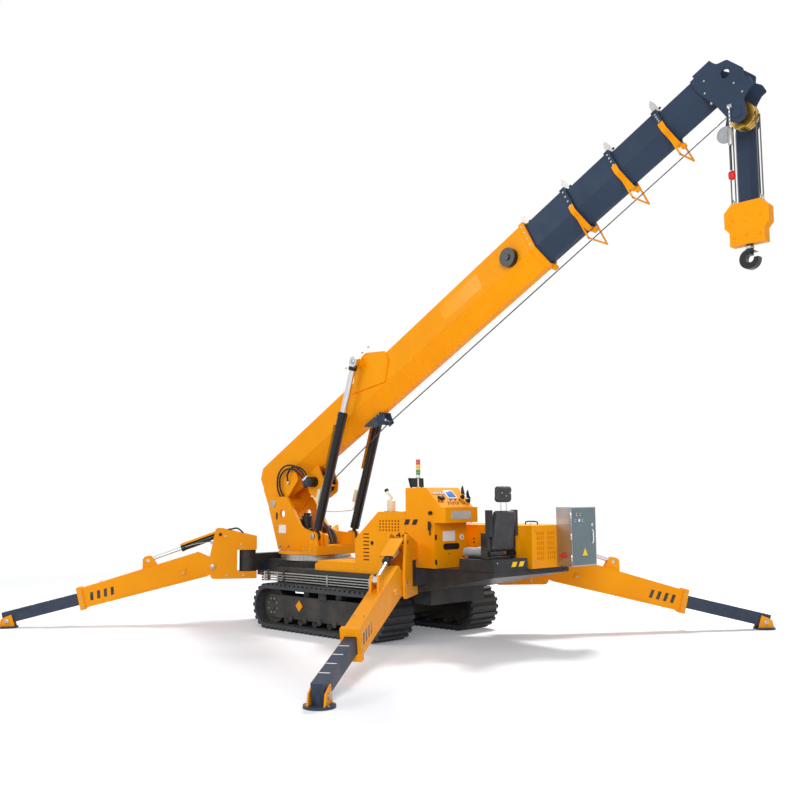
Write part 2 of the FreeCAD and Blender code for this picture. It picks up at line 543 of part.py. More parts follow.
rails = box("SeatRails", ("SeatBack + 60", "SeatBoxFront"), ("SeatY - 150", "SeatY + 150"),
            ("SeatBoxTop + SeatGap", "CushionBottom - SeatGap"))
hinge_plates = []
for index, side in enumerate((-1, 1)):
    inner = "SeatY + (%d)*(SeatWide/2 + SeatGap)" % side
    outer = "SeatY + (%d)*(SeatWide/2 + ArmrestWide)" % side
    low, high = (inner, outer) if side > 0 else (outer, inner)
    hinge_plates.append(box("SeatSide%d" % index, ("SeatBack + 20", "SeatBack + 120"), (low, high),
                            ("SeatBoxTop + 5", "ArmrestLow + 40")))
    hinge_plates.append(box("Armrest%d" % index, ("SeatBack - 20", "SeatBack - 20 + ArmrestThick"),
                            (low, high), ("ArmrestLow", "ArmrestTop")))
underframe = box("SeatUnderframe", ("SeatBack + 40", "SeatBack + 110"),
                 ("SeatY - SeatWide/2 - ArmrestWide", "SeatY + SeatWide/2 + ArmrestWide"),
                 ("SeatBoxTop + 5", "CushionBottom - SeatGap"))
node(fuse("SeatFrame", rails, underframe, *hinge_plates), "seat_frame")

# Switch cabinet: box open to the rear and its hinged door
cabinet_shell = box("CabinetShell", ("CabinetRear + DoorThick", "HoodRear - SeatGap"),
                    ("CabinetRight", "CabinetLeft"), ("CabinetBottom", "CabinetTop"))
cabinet_inside = box("CabinetInside", ("CabinetRear - 1", "HoodRear - SeatGap - CabinetWall"),
                     ("CabinetRight + CabinetWall", "CabinetLeft - CabinetWall"),
                     ("CabinetBottom + CabinetWall", "CabinetTop - CabinetWall"))
node(cut("Cabinet", cabinet_shell, cabinet_inside), "switch_cabinet")
node(box("CabinetDoor", ("CabinetRear", "CabinetRear + DoorThick - SeatGap"),
         ("CabinetRight", "CabinetLeft"), ("CabinetBottom", "CabinetTop")), "cabinet_door",
     x="CabinetRear", y="CabinetRight", z="CabinetBottom")


# Turntable: flange on the slewing ring, two cheeks for the boom foot, box for the lift cylinders
def turntable():
    """Slewing column with the bores of the boom foot pin and the lugs of the lift cylinders."""
    flange = rod("Flange", "Z", ("SlewX", "0"), "FlangeRadius", "FlangeBottom", "FlangeTop")
    pieces = [flange]
    for name, side in (("Left", 1), ("Right", -1)):
        pieces.append(prism(name + "Cheek", "XZ", "%d*(CheekInner + CheekThick/2)" % side, "CheekThick",
                            ["1796; FlangeTop - 2", "FootX + CheekRound; FootZ - 60; 60",
                             "FootX + CheekRound; FootZ + CheekRound; CheekRound*0.9",
                             "FootX - 330; FootZ + CheekRound; 90", "1244; 1336; 120",
                             "RearBoxFront; LiftBaseZ + 50; 60", "RearBoxRear; LiftBaseZ + 30; 40",
                             "RearBoxRear; FlangeTop - 2"],
                            ("FootX; FootZ", "FootPin + PinGap"), ("FootX - 226; FootZ - 140", "62")))
    pieces.append(box("RearBox", ("RearBoxRear", "RearBoxFront"), ("-RearBoxWide/2", "RearBoxWide/2"),
                      ("FlangeBottom", "RearBoxTop")))
    pieces.append(box("FrontWeb", ("1640", "1760"), ("-CheekInner - 1", "CheekInner + 1"),
                      ("FlangeTop - 1", "FootZ - 250")))
    for name, side in (("Left", 1), ("Right", -1)):
        for plate, offset in (("Inner", "-LiftEyeWide/2 - LugPlate/2 - PinGap*2"),
                              ("Outer", "LiftEyeWide/2 + LugPlate/2 + PinGap*2")):
            middle = "%d*(LiftY + (%s))" % (side, offset)
            pieces.append(prism(name + plate + "Lug", "XZ", middle, "LugPlate",
                                ["LiftBaseX - 95; RearBoxTop - 2", "LiftBaseX + 95; RearBoxTop - 2",
                                 "LiftBaseX + 62; LiftBaseZ + 62; 58", "LiftBaseX - 62; LiftBaseZ + 62; 58"],
                                ("LiftBaseX; LiftBaseZ", "LiftPin + PinGap")))
    return fuse("Turntable", *pieces)


node(turntable(), "turntable")
node(fuse("SlewDrive",
          rod("SlewGear", "Z", ("SlewMotorX", "SlewMotorY"), "SlewMotorRadius", "FlangeTop + SeatGap", "SlewMotorTop"),
          rod("SlewBrake", "Z", ("SlewMotorX", "SlewMotorY"), "SlewBrakeRadius", "SlewMotorTop - 1", "SlewBrakeTop")),
     "slew_motor")


# Boom frame: origin at the foot pin, the boom runs along -X, Z across it; U is the way along the boom
def boom_node(feature, name):
    """Place a piece of the boom, drawn in the boom frame, at the boom's rest angle."""
    return node(feature, name, x="FootX", z="FootZ", pitch="BoomAngle")


def section_loop(stage, grow):
    """Six-sided cross section of a boom stage, drawn larger or smaller all round."""
    half = "(BoomHalf - %d*BoomStep + (%s))" % (stage, grow)
    top = "(BoomTop - %d*BoomDrop + (%s))" % (stage, grow)
    bottom = "(BoomBottom + %d*BoomDrop - (%s))" % (stage, grow)
    floor = "(BoomFloor - %d*FloorStep + (%s)/2)" % (stage, grow)
    shoulder = "(%s + (%s - %s)*BoomFacet/(BoomHalf - BoomFloor))" % (bottom, half, floor)
    return ["-%s; %s" % (half, shoulder), "-%s; %s" % (floor, bottom), "%s; %s" % (floor, bottom),
            "%s; %s" % (half, shoulder), "%s; %s" % (half, top), "-%s; %s" % (half, top)]


def tube(name, stage, rear, front):
    """Hollow six-sided tube of one boom stage between two places along the boom."""
    middle = "-((%s) + (%s))/2" % (rear, front)
    return prism(name, "YZ", middle, "(%s) - (%s)" % (front, rear),
                 section_loop(stage, "0"), section_loop(stage, "-BoomWall"))


def tail_pads(stage, rear):
    """Slide pads round the tail of a stage, which run on the inner walls of the one outside it."""
    lift = "(BoomDrop - BoomWall - SeatGap)"
    spread = "(BoomStep - BoomWall - SeatGap)"
    half = "(BoomHalf - %d*BoomStep)" % stage
    top = "(BoomTop - %d*BoomDrop)" % stage
    bottom = "(BoomBottom + %d*BoomDrop)" % stage
    floor = "(BoomFloor - %d*FloorStep)" % stage
    ends = ("-(%s) - PadLong" % rear, "-(%s)" % rear)
    pads = [box("TopPad%d" % stage, ends, ("-PadWide/2", "PadWide/2"), (top + " - 1", top + " + " + lift)),
            box("BottomPad%d" % stage, ends, ("-" + floor, floor),
                (bottom + " - " + lift, bottom + " + 1"))]
    for name, span in (("Left", (half + " - 1", half + " + " + spread)),
                       ("Right", ("-%s - %s" % (half, spread), "-%s + 1" % half))):
        pads.append(box("%sPad%d" % (name, stage), ends, span, ("PadLow", "PadHigh")))
    return pads


def stage_front(stage):
    """Place of a stage's front end along the boom."""
    return "(BaseEnd + %d*StageReach)" % stage


def collar(stage):
    """Raised ring round the front end of a stage."""
    front = stage_front(stage)
    return prism("Collar%d" % (stage + 1), "YZ", "-(%s - CollarLong/2)" % front, "CollarLong",
                 section_loop(stage, "CollarThick"), section_loop(stage, "-BoomWall"))


def rope_loop(stage):
    """Bent rod that hangs from both sides of a collar round the hoist rope."""
    side = "(LoopHalf - %d*BoomStep)" % stage
    foot = "(%s - LoopInset)" % side
    top = "(LoopTop + %d*BoomDrop)" % stage
    low = "(LoopTop + %d*BoomDrop - LoopDeep)" % stage
    outer = ["-%s; %s" % (side, top), "-%s; %s" % (foot, low), "%s; %s" % (foot, low), "%s; %s" % (side, top)]
    inner = ["%s - LoopRod; %s" % (side, top), "%s - LoopRod; %s + LoopRod" % (foot, low),
             "-%s + LoopRod; %s + LoopRod" % (foot, low), "-%s + LoopRod; %s" % (side, top)]
    return prism("Loop%d" % stage, "YZ", "-(%s - CollarLong/2)" % stage_front(stage), "LoopRod", outer + inner)


def boom_base():
    """First boom stage: tube, tail plate, bosses at the foot pin, bracket across the top."""
    shell = tube("BaseTube", 0, "-BoomTail", "BaseEnd")
    tail = prism("TailPlate", "YZ", "BoomTail - BoomWall", "2*BoomWall", section_loop(0, "0"))
    foot = rod("FootPinBar", "Y", ("0", "0"), "FootPin", "-CheekInner - CheekThick - 12",
               "CheekInner + CheekThick + 12")
    boss = rod("FootBoss", "Y", ("0", "0"), "CheekRound - 12", "-CheekInner + PinGap", "CheekInner - PinGap")
    skirt = ["-BracketRear; BracketSkirt + 220", "-BracketRear - 130; BoomTop",
             "-LiftEyeU + 90; BracketTop; 70", "-LiftEyeU - 150; BracketTop; 60",
             "-BracketFront; BoomTop + 20", "-BracketFront; BoomTop - 120",
             "-BracketFront + 200; BracketSkirt"]
    plates = [prism(name + "Skirt", "XZ", "%d*(BoomHalf + BracketPlate/2)" % side, "BracketPlate", skirt)
              for name, side in (("Left", 1), ("Right", -1))]
    trunnion = rod("TrunnionTube", "Y", ("-LiftEyeU", "LiftEyeV"), "LiftEyeRadius",
                   "-(LiftY - LiftRodRadius - LiftInset)", "LiftY - LiftRodRadius - LiftInset")
    cap = box("BracketCap", ("-BracketFront + 40", "-BracketRear - 200"), ("-BoomHalf", "BoomHalf"),
              ("BoomTop - 1", "BoomTop + 24"))
    chamfer = prism("TailChamfer", "XZ", "0", "4*BoomHalf",
                    ["BoomTail + 1; BoomTop - BoomTailCut", "BoomTail + 1; BoomTop + 1",
                     "BoomTail - BoomTailCut; BoomTop + 1"])
    foot_plate = ["BoomTail; BoomBottom + BoomFacet + 60", "BoomTail; -CheekRound; 70",
                  "-CheekRound; -CheekRound; 60", "-FootPlateLong; BoomBottom; 60",
                  "-FootPlateLong; BoomBottom + BoomFacet + 60"]
    plates += [prism(name + "FootPlate", "XZ", "%d*(BoomHalf + FootPlate/2 - FootSink)" % side, "FootPlate",
                     foot_plate)
               for name, side in (("Left", 1), ("Right", -1))]
    whole = fuse("BaseWhole", shell, tail, boss, collar(0), cap, trunnion, *plates)
    return fuse("BoomBase", cut("BaseCut", whole, chamfer), foot)


boom_node(boom_base(), "boom_base")
for stage in range(1, BOOM_STAGES - 1):
    rear = "(StageTail + %d*StageLap)" % (stage - 1)
    body = fuse("Stage%d" % (stage + 1), tube("StageTube%d" % (stage + 1), stage, rear, stage_front(stage)),
                collar(stage), rope_loop(stage), *tail_pads(stage, rear))
    boom_node(body, "boom_stage_%d" % (stage + 1))


def boom_head():
    """Last stage with the cheeks of the boom head, its ears and the sheave pin."""
    stage = BOOM_STAGES - 1
    half = "(BoomHalf - %d*BoomStep)" % stage
    rear = "(StageTail + %d*StageLap)" % (stage - 1)
    shell = tube("HeadTube", stage, rear, "SheaveU - SheaveRadius - HeadReach")
    top = "(BoomTop - %d*BoomDrop)" % stage
    outline = ["-CheekStart; " + top, "-CheekStart; BoomBottom + %d*BoomDrop + BoomFacet" % stage,
               "-8262; 100; 30", "-SheaveU + 96; SheaveV - 30; 60", "-SheaveU + 50; SheaveV - 100; 60",
               "-SheaveU - 70; SheaveV - 95; 60", "-8510; -40; 30", "-8600; 6; 20", "-8668; 10; 20",
               "-8668; 100; 30", "-8625; 170; 30", "-8668; 230; 30", "-8590; 430; 40", "-8490; 470; 30",
               "-8450; " + top]
    plates = [prism(name + "HeadCheek", "XZ", "%d*(%s + HeadPlate/2)" % (side, half), "HeadPlate", outline,
                    ("-EarU; EarV", "EarBore"))
              for name, side in (("Left", 1), ("Right", -1))]
    pin = rod("SheaveAxle", "Y", ("-SheaveU", "SheaveV"), "SheavePin", "-%s - HeadPlate - 10" % half,
              "%s + HeadPlate + 10" % half)
    roof = box("HeadRoof", ("-8450", "-CheekStart - 50"), ("-%s - HeadPlate" % half, "%s + HeadPlate" % half),
               (top + " - 2", top + " + 32"))
    return fuse("BoomHead", shell, *plates, pin, roof, *tail_pads(stage, rear))


boom_node(boom_head(), "boom_stage_5")

# Sheaves of the boom head, side by side on a common sleeve
sheave_discs = [rod("Sheave%d" % i, "Y", ("-SheaveU", "SheaveV"), "SheaveRadius",
                    "(%d)*SheavePitch - SheaveWide/2" % (i - 1), "(%d)*SheavePitch + SheaveWide/2" % (i - 1))
                for i in range(3)]
sleeve = rod("SheaveSleeve", "Y", ("-SheaveU", "SheaveV"), "SheavePin + 25", "-SheavePitch - 25", "SheavePitch + 25")
sheave_bore = rod("SheaveBore", "Y", ("-SheaveU", "SheaveV"), "SheavePin + PinGap", "-200", "200")
boom_node(cut("Sheaves", fuse("SheaveSet", *sheave_discs, sleeve), sheave_bore), "head_sheaves")

# Rope guide roller and winch below the boom, hose reel at its side
guide_v = "(BoomBottom - GuideDrop)"
guide_ears = [box("GuideEar%d" % i, ("-GuideU - 50", "-GuideU + 50"),
                  ("(%d)*(GuideWide/2 + GuidePlate/2 + SideGap) - GuidePlate/2" % side,
                   "(%d)*(GuideWide/2 + GuidePlate/2 + SideGap) + GuidePlate/2" % side),
                  (guide_v + " - 30", "BoomBottom - GuidePlate"))
              for i, side in enumerate((-1, 1))]
guide_plate = box("GuidePlateTop", ("-GuideU - 60", "-GuideU + 300"),
                  ("-GuideWide/2 - GuidePlate - SideGap", "GuideWide/2 + GuidePlate + SideGap"),
                  ("BoomBottom - GuidePlate - 1", "BoomBottom - SeatGap"))
guide_roller = rod("GuideRoller", "Y", ("-GuideU", guide_v), "GuideRadius", "-GuideWide/2", "GuideWide/2")
guide_axle = rod("GuideAxle", "Y", ("-GuideU", guide_v), "12", "-GuideWide/2 - GuidePlate - SideGap - 8",
                 "GuideWide/2 + GuidePlate + SideGap + 8")
boom_node(fuse("RopeGuide", guide_plate, guide_roller, guide_axle, *guide_ears), "rope_guide")

winch_v = "(BoomBottom - WinchDrop)"
winch_side = ["-WinchU - 180; BoomBottom - SeatGap", "-WinchU - 180; %s - 100; 60" % winch_v,
              "-WinchU - 100; %s - 215; 60" % winch_v, "-WinchU + 100; %s - 215; 60" % winch_v,
              "-WinchU + 180; %s - 100; 60" % winch_v, "-WinchU + 180; BoomBottom - SeatGap"]
winch_plates = [prism("WinchCheek%d" % i, "XZ", "(%d)*(DrumWide/2 + SideGap + WinchPlate/2)" % side,
                      "WinchPlate", winch_side, ("-WinchU; " + winch_v, "30 + PinGap"))
                for i, side in enumerate((-1, 1))]
winch_tie = rod("WinchTie", "Y", ("-WinchU - 130", winch_v + " - 132"), "14", "-DrumWide/2 - SideGap - WinchPlate",
                "DrumWide/2 + SideGap + WinchPlate")
winch_top = box("WinchTop", ("-WinchU - 170", "-WinchU + 170"), ("-DrumWide/2 - SideGap - WinchPlate", "DrumWide/2 + SideGap + WinchPlate"),
                ("BoomBottom - 6 - SeatGap", "BoomBottom - SeatGap"))
boom_node(fuse("WinchFrame", *winch_plates, winch_tie, winch_top), "winch_frame")
winch_motor = rod("WinchMotor", "Y", ("-WinchU", winch_v), "WinchMotorRadius",
                  "DrumWide/2 + SideGap + WinchPlate + SeatGap",
                  "DrumWide/2 + SideGap + WinchPlate + WinchMotorLong")
boom_node(group("WinchDrive", winch_motor), "winch_motor")
drum_parts = [rod("DrumBarrel", "Y", ("-WinchU", winch_v), "DrumRadius", "-DrumWide/2", "DrumWide/2"),
              rod("DrumShaft", "Y", ("-WinchU", winch_v), "30", "-DrumWide/2 - SideGap - WinchPlate",
                  "DrumWide/2 + SideGap + WinchPlate")]
drum_parts += [rod("DrumRim%d" % i, "Y", ("-WinchU", winch_v), "DrumFlange*0.95", low, low + " + 12")
               for i, low in enumerate(("-DrumWide/2", "DrumWide/2 - 12"))]
boom_node(fuse("WinchDrum", *drum_parts), "winch_drum")
reel = rod("Reel", "Y", ("-ReelU", "ReelV"), "ReelRadius", "BoomHalf + SeatGap", "BoomHalf + ReelWide")
boom_node(fuse("HoseReel", reel, rod("ReelHub", "Y", ("-ReelU", "ReelV"), "40", "BoomHalf + SeatGap", "BoomHalf + ReelWide + 15")), "hose_reel")


# Lift cylinders, drawn along +X from the base pin
LIFT_EYE_X = "(FootX - LiftEyeU*cos(BoomAngle) + LiftEyeV*sin(BoomAngle))"
LIFT_EYE_Z = "(FootZ + LiftEyeU*sin(BoomAngle) + LiftEyeV*cos(BoomAngle))"
LIFT_LENGTH = "sqrt((LiftBaseX - %s)^2 + (%s - LiftBaseZ)^2)" % (LIFT_EYE_X, LIFT_EYE_Z)


def lift_node(feature, name):
    """Place pieces of the lift cylinders, drawn along -X from the base pin."""
    pitch = "atan2(%s - LiftBaseZ; LiftBaseX - %s)" % (LIFT_EYE_Z, LIFT_EYE_X)
    return node(feature, name, x="LiftBaseX", z="LiftBaseZ", pitch=pitch)


barrels = []
rods = []
for name, side in (("Left", 1), ("Right", -1)):
    middle = "%d*LiftY" % side
    tube_end = "-LiftBarrelLong"
    shell = rod(name + "LiftTube", "X", (middle, "0"), "LiftBarrelRadius", tube_end, "-LiftNeck")
    neck = rod(name + "LiftNeckBar", "X", (middle, "0"), "LiftEyeWide/2", "-LiftNeck - 5", "0")
    eye = rod(name + "LiftBaseEye", "Y", ("0", "0"), "LiftEyeRadius - 10", middle + " - LiftEyeWide/2", middle + " + LiftEyeWide/2")
    pin = rod(name + "LiftBasePin", "Y", ("0", "0"), "LiftPin", middle + " - LiftEyeWide/2 - LugPlate - 8", middle + " + LiftEyeWide/2 + LugPlate + 8")
    bore = rod(name + "LiftBore", "X", (middle, "0"), "LiftRodRadius + PinGap", tube_end + " - 1", "-LiftBoreEnd")
    barrels.append(cut(name + "LiftBarrel", fuse(name + "LiftBody", shell, neck, eye, pin), bore))
    stem = rod(name + "LiftStem", "X", (middle, "0"), "LiftRodRadius", "-%s + 30" % LIFT_LENGTH, "-LiftRodInner")
    rod_eye = rod(name + "LiftRodEye", "Y", ("-" + LIFT_LENGTH, "0"), "LiftEyeRadius",
                  middle + " - LiftEyeWide/2", middle + " + LiftEyeWide/2")
    stub_low, stub_high = "LiftY - LiftRodRadius - LiftInset + PinGap", "LiftY"
    if side < 0:
        stub_low, stub_high = "-(%s)" % stub_high, "-(%s)" % stub_low
    stub = rod(name + "LiftStub", "Y", ("-" + LIFT_LENGTH, "0"), "LiftPin", stub_low, stub_high)
    rods.append(fuse(name + "LiftRod", stem, rod_eye, stub))
lift_node(group("LiftBarrels", *barrels), "lift_barrels")
lift_node(group("LiftRods", *rods), "lift_rods")

# Fly jib on the right cheek of the boom head, hanging straight down from its pin
HEAD_X = "(FootX - SheaveU*cos(BoomAngle) + SheaveV*sin(BoomAngle))"
HEAD_Z = "(FootZ + SheaveU*sin(BoomAngle) + SheaveV*cos(BoomAngle))"
half_jib = "JibWide/2"
jib_loop = ["-%s; 0" % half_jib, "-%s/2; -JibWide*0.43" % half_jib, "%s/2; -JibWide*0.43" % half_jib,
            "%s; 0" % half_jib, "%s/2; JibWide*0.43" % half_jib, "-%s/2; JibWide*0.43" % half_jib]
jib_inner = [point.replace("JibWide", "(JibWide - 2*JibWall)") for point in jib_loop]
jib_tube = prism("JibTube", "XY", "-(JibLong + JibEyeRadius)/2 + 15", "JibLong - JibEyeRadius + 30",
                 jib_loop, jib_inner)
jib_eye = rod("JibEye", "Y", ("0", "0"), "JibEyeRadius", "-JibWide*0.43", "JibWide*0.43")
jib_pin = rod("JibPin", "Y", ("0", "0"), "JibPinRadius", "JibWide*0.43 - 1", "JibY - (BoomHalf - 4*BoomStep) - HeadPlate - PinGap")
node(fuse("FlyJib", jib_tube, jib_eye, jib_pin), "fly_jib", x=HEAD_X + " + JibX", y="-JibY", z=HEAD_Z + " + JibZ")

# Hoist falls, hook block and hook
FALL_END = "(BlockTop + SeatGap)"
falls = []
for i, (side, across) in enumerate(((-1, -1), (1, -1), (-1, 1), (1, 1))):
    falls.append(rod("Fall%d" % i, "Z", ("(%d)*(SheaveRadius + RopeRadius + SeatGap)" % side,
                                         "(%d)*SheavePitch" % across),
                     "RopeRadius", FALL_END, HEAD_Z))
block_body = prism("BlockBody", "XZ", "0", "BlockThick",
                   ["-BlockWaist/2; BlockTop - BlockTall", "BlockWaist/2; BlockTop - BlockTall",
                    "BlockWaist/2; BlockTop - BlockTall*0.68", "BlockWide/2; BlockTop - BlockTall*0.55",
                    "BlockWide/2; BlockTop - BlockChamfer", "BlockWide/2 - BlockChamfer; BlockTop",
                    "-BlockWide/2 + BlockChamfer; BlockTop", "-BlockWide/2; BlockTop - BlockChamfer",
                    "-BlockWide/2; BlockTop - BlockTall*0.55", "-BlockWaist/2; BlockTop - BlockTall*0.68"])
node(block_body, "hook_block", x=HEAD_X)
node(group("Falls", *falls), "hoist_falls", x=HEAD_X)
shank = rod("HookShankBar", "Z", ("0", "0"), "HookShank", "BlockTop - BlockTall - HookDrop + HookRadius - 60", "BlockTop - BlockTall - SeatGap")
hook_ring = prism("HookBow", "XZ", "0", "HookThick*2",
                  ("0; BlockTop - BlockTall - HookDrop", "HookRadius"), ("-8; BlockTop - BlockTall - HookDrop + 6", "HookRadius - HookThick*1.6"))
hook_mouth = box("HookMouth", ("-HookRadius - 5", "-20"), ("-60", "60"),
                 ("BlockTop - BlockTall - HookDrop + 12", "BlockTop - BlockTall - HookDrop + 70"))
node(fuse("Hook", cut("HookCut", hook_ring, hook_mouth), shank), "hook", x=HEAD_X)


# Outriggers: pieces drawn once, each then placed at its pivot
def leg_head():
    """Swing head: a yoke over and under the pivot barrel with a fork for the outer box."""
    body = prism("LegHead", "XZ", "0", "2*HeadHalf",
                 ["-HeadRear; HeadFloor", "LegPivotS + 20; HeadFloor; 60", "LegPivotS + 62; LegPivotZ + 30; 30",
                  "LegPivotS - 40; HeadHigh; 40", "LegPivotS - 130; HeadHigh; 40", "-HeadRear; HeadBack"],
                 ("LegPivotS; LegPivotZ", "LegPin + PinGap"),
                 ("LegPivotS + LegPinA*cos(LegSlope) + LegPinB*sin(LegSlope);"
                  " LegPivotZ - LegPinA*sin(LegSlope) + LegPinB*cos(LegSlope)", "LegCylPin + PinGap"))
    pocket(body, "HeadSlot", "XZ", "0", "4*HeadHalf",
           rectangle("-HeadRear - 1", "PivotBottom - SideGap", "HeadSlotDepth", "PivotTop + SideGap"))
    pocket(body, "HeadFork", "XY", "(HeadFloor + HeadHigh)/2", "HeadHigh - HeadFloor + 2",
           rectangle("ForkRear", "-ForkHalf", "LegPivotS + 200", "ForkHalf"))
    pin = rod("SwingPin", "Z", ("0", "0"), "PivotPin", "HeadFloor + 10", "PivotTop + SideGap + 20")
    return fuse("SwingHead", body, pin)


def leg_box():
    """Outer box of the arm, drawn from its lift pin, tapering to the open collar at its end."""
    outer = prism("LegBox", "XZ", "0", "2*LegBoxHalf",
                  ["-60; LegBoxBottom + 40; 50", "110; LegBoxBottom", "LegBoxEnd; LegBoxBottom",
                   "LegBoxEnd; LegBoxEndTop", "LegBoxRoot; LegBoxRootTop", "-60; 80; 50"])
    rear = "(ArmRear - ArmRetract - 20)"
    pocket(outer, "LegBoxInside", "YZ", "(%s + LegBoxEnd + 10)/2" % rear, "LegBoxEnd + 10 - %s" % rear,
           rectangle("-ArmHalfWide - SlideGap", "ArmCentre - ArmHalfHigh - SlideGap",
                     "ArmHalfWide + SlideGap", "ArmCentre + ArmHalfHigh + SlideGap"))
    rim = prism("LegRim", "YZ", "LegBoxEnd - LegCollar/2", "LegCollar",
                rectangle("-LegBoxHalf - LegCollarThick", "LegBoxBottom - LegCollarThick",
                          "LegBoxHalf + LegCollarThick", "LegBoxEndTop + LegCollarThick"),
                rectangle("-ArmHalfWide - SlideGap", "ArmCentre - ArmHalfHigh - SlideGap",
                          "ArmHalfWide + SlideGap", "ArmCentre + ArmHalfHigh + SlideGap"))
    pin = rod("LegPinBar", "Y", ("0", "0"), "LegPin", "-HeadHalf - 8", "HeadHalf + 8")
    lugs = [prism("LegLug%d" % i, "XZ", "(%d)*(LegEyeWide/2 + PinGap + LegLugPlate/2)" % side, "LegLugPlate",
                  ["LegLugA - 130; LegBoxEndTop", "LegLugA + 110; LegBoxEndTop",
                   "LegLugA + LegLugRound; LegLugB + LegLugRound; LegLugRound*0.9",
                   "LegLugA - LegLugRound; LegLugB + LegLugRound; LegLugRound*0.9"],
                  ("LegLugA; LegLugB", "LegCylPin + PinGap"))
            for i, side in enumerate((-1, 1))]
    return fuse("LegOuter", outer, rim, pin, *lugs)


def leg_arm():
    """Inner arm with its foot: neck and flat pad level with the floor at rest."""
    arm = box("LegArm", ("ArmRear", "ArmEnd"), ("-ArmHalfWide", "ArmHalfWide"),
              ("ArmCentre - ArmHalfHigh", "ArmCentre + ArmHalfHigh"))
    lift = "(SlideGap - SeatGap)"
    pads = [box("ArmTopPad", ("ArmRear", "ArmRear + PadLong"), ("-ArmHalfWide*0.7", "ArmHalfWide*0.7"),
                ("ArmCentre + ArmHalfHigh - 1", "ArmCentre + ArmHalfHigh + " + lift)),
            box("ArmBottomPad", ("ArmRear", "ArmRear + PadLong"), ("-ArmHalfWide*0.7", "ArmHalfWide*0.7"),
                ("ArmCentre - ArmHalfHigh - " + lift, "ArmCentre - ArmHalfHigh + 1"))]
    for name, side in (("Left", 1), ("Right", -1)):
        inner, outer = "%d*(ArmHalfWide - 1)" % side, "%d*(ArmHalfWide + %s)" % (side, lift)
        span = (inner, outer) if side > 0 else (outer, inner)
        pads.append(box("Arm%sPad" % name, ("ArmRear", "ArmRear + PadLong"), span,
                        ("ArmCentre - ArmHalfHigh*0.7", "ArmCentre + ArmHalfHigh*0.7")))
    return fuse("LegInner", arm, *pads)


LEG_DX = "(LegLugA - LegPinA)"
LEG_DB = "(LegPinB - LegLugB)"
LEG_CYL = "sqrt(%s^2 + %s^2)" % (LEG_DX, LEG_DB)
LEG_TILT = "atan2(%s; %s)/1deg" % (LEG_DB, LEG_DX)


def leg_barrel():
    """Barrel of the outrigger cylinder, from its pin in the head, with the cover over it."""
    shell = rod("LegTube", "X", ("0", "0"), "LegCylRadius", "LegEyeRadius - 10", "LegCylLong")
    eye = rod("LegBarrelEye", "Y", ("0", "0"), "LegEyeRadius", "-LegEyeWide/2", "LegEyeWide/2")
    pin = rod("LegBarrelPin", "Y", ("0", "0"), "LegCylPin", "-HeadHalf - 6", "HeadHalf + 6")
    bore = rod("LegTubeBore", "X", ("0", "0"), "LegRodRadius + PinGap", "LegBoreEnd", "LegCylLong + 1")
    cover = box("LegCover", ("LegEyeRadius + 16", "LegCylLong - 20"), ("-CoverWide/2", "CoverWide/2"),
                ("LegCylRadius + CoverLift", "LegCylRadius + CoverLift + CoverThick"))
    clamps = [box("LegClamp%d" % i, (x, x + " + CoverClamp"), ("-CoverClamp/2", "CoverClamp/2"),
                  ("LegCylRadius - CoverThick", "LegCylRadius + CoverLift + 1"))
              for i, x in enumerate(("LegEyeRadius + 60", "LegCylLong - 110"))]
    return cut("LegBarrel", fuse("LegBarrelBody", shell, eye, pin, cover, *clamps), bore)


def leg_rod():
    """Rod of the outrigger cylinder with its eye, which carries its own pin."""
    stem = rod("LegStem", "X", ("0", "0"), "LegRodRadius", "LegRodInner", LEG_CYL + " - 20")
    eye = rod("LegRodEye", "Y", (LEG_CYL, "0"), "LegEyeRadius", "-LegEyeWide/2", "LegEyeWide/2")
    return fuse("LegRod", stem, eye)


foot_drop = "(LegPivotZ - FootThick)"
foot_s = "((ArmEnd - 60)*cos(LegSlope) + ArmCentre*sin(LegSlope))"
foot_pad = rod("FootPad", "Z", (foot_s, "0"), "FootHalf", "-LegPivotZ", "-LegPivotZ + FootThick")
foot_neck = rod("FootNeckBar", "Z", (foot_s, "0"), "FootNeck", "-LegPivotZ + FootThick - 1",
                "-(ArmEnd - 60)*sin(LegSlope) + ArmCentre*cos(LegSlope)")
foot_group = fuse("FootGroup", foot_pad, foot_neck)

head_master = leg_head()
box_master = leg_box()
arm_master = leg_arm()
barrel_master = leg_barrel()
rod_master = leg_rod()
for name, x, y, heading, reach in LEGS:
    at = {"x": x, "y": y, "yaw": heading}
    node(group("Head_" + name, head_master), "leg_head_" + name, **at)
    out_x = x + " + LegPivotS*cos(%s)" % heading
    out_y = y + " + LegPivotS*sin(%s)" % heading
    tilted = {"yaw": heading, "pitch": "LegSlope", "z": "LegPivotZ"}
    node(group("Box_" + name, box_master), "leg_box_" + name, x=out_x, y=out_y, **tilted)
    arm = group("ArmTilt_" + name, arm_master)
    place(arm, reach, pitch="0")
    tilt = group("ArmLevel_" + name, arm)
    place(tilt, pitch="LegSlope")
    foot = group("Foot_" + name, foot_group)
    place(foot, "(%s)*cos(LegSlope)" % reach)
    node(fuse("Arm_full_" + name, tilt, foot), "leg_arm_" + name, x=out_x, y=out_y, z="LegPivotZ", yaw=heading)
    pin_s = "(LegPivotS + LegPinA*cos(LegSlope) + LegPinB*sin(LegSlope))"
    pin_z = "(LegPivotZ - LegPinA*sin(LegSlope) + LegPinB*cos(LegSlope))"
    cylinder = {"x": x + " + %s*cos(%s)" % (pin_s, heading), "y": y + " + %s*sin(%s)" % (pin_s, heading),
                "z": pin_z, "yaw": heading, "pitch": "LegSlope + " + LEG_TILT}
    node(group("CylBarrel_" + name, barrel_master), "leg_barrel_" + name, **cylinder)
    node(group("CylRod_" + name, rod_master), "leg_rod_" + name, **cylinder)

doc.recompute()

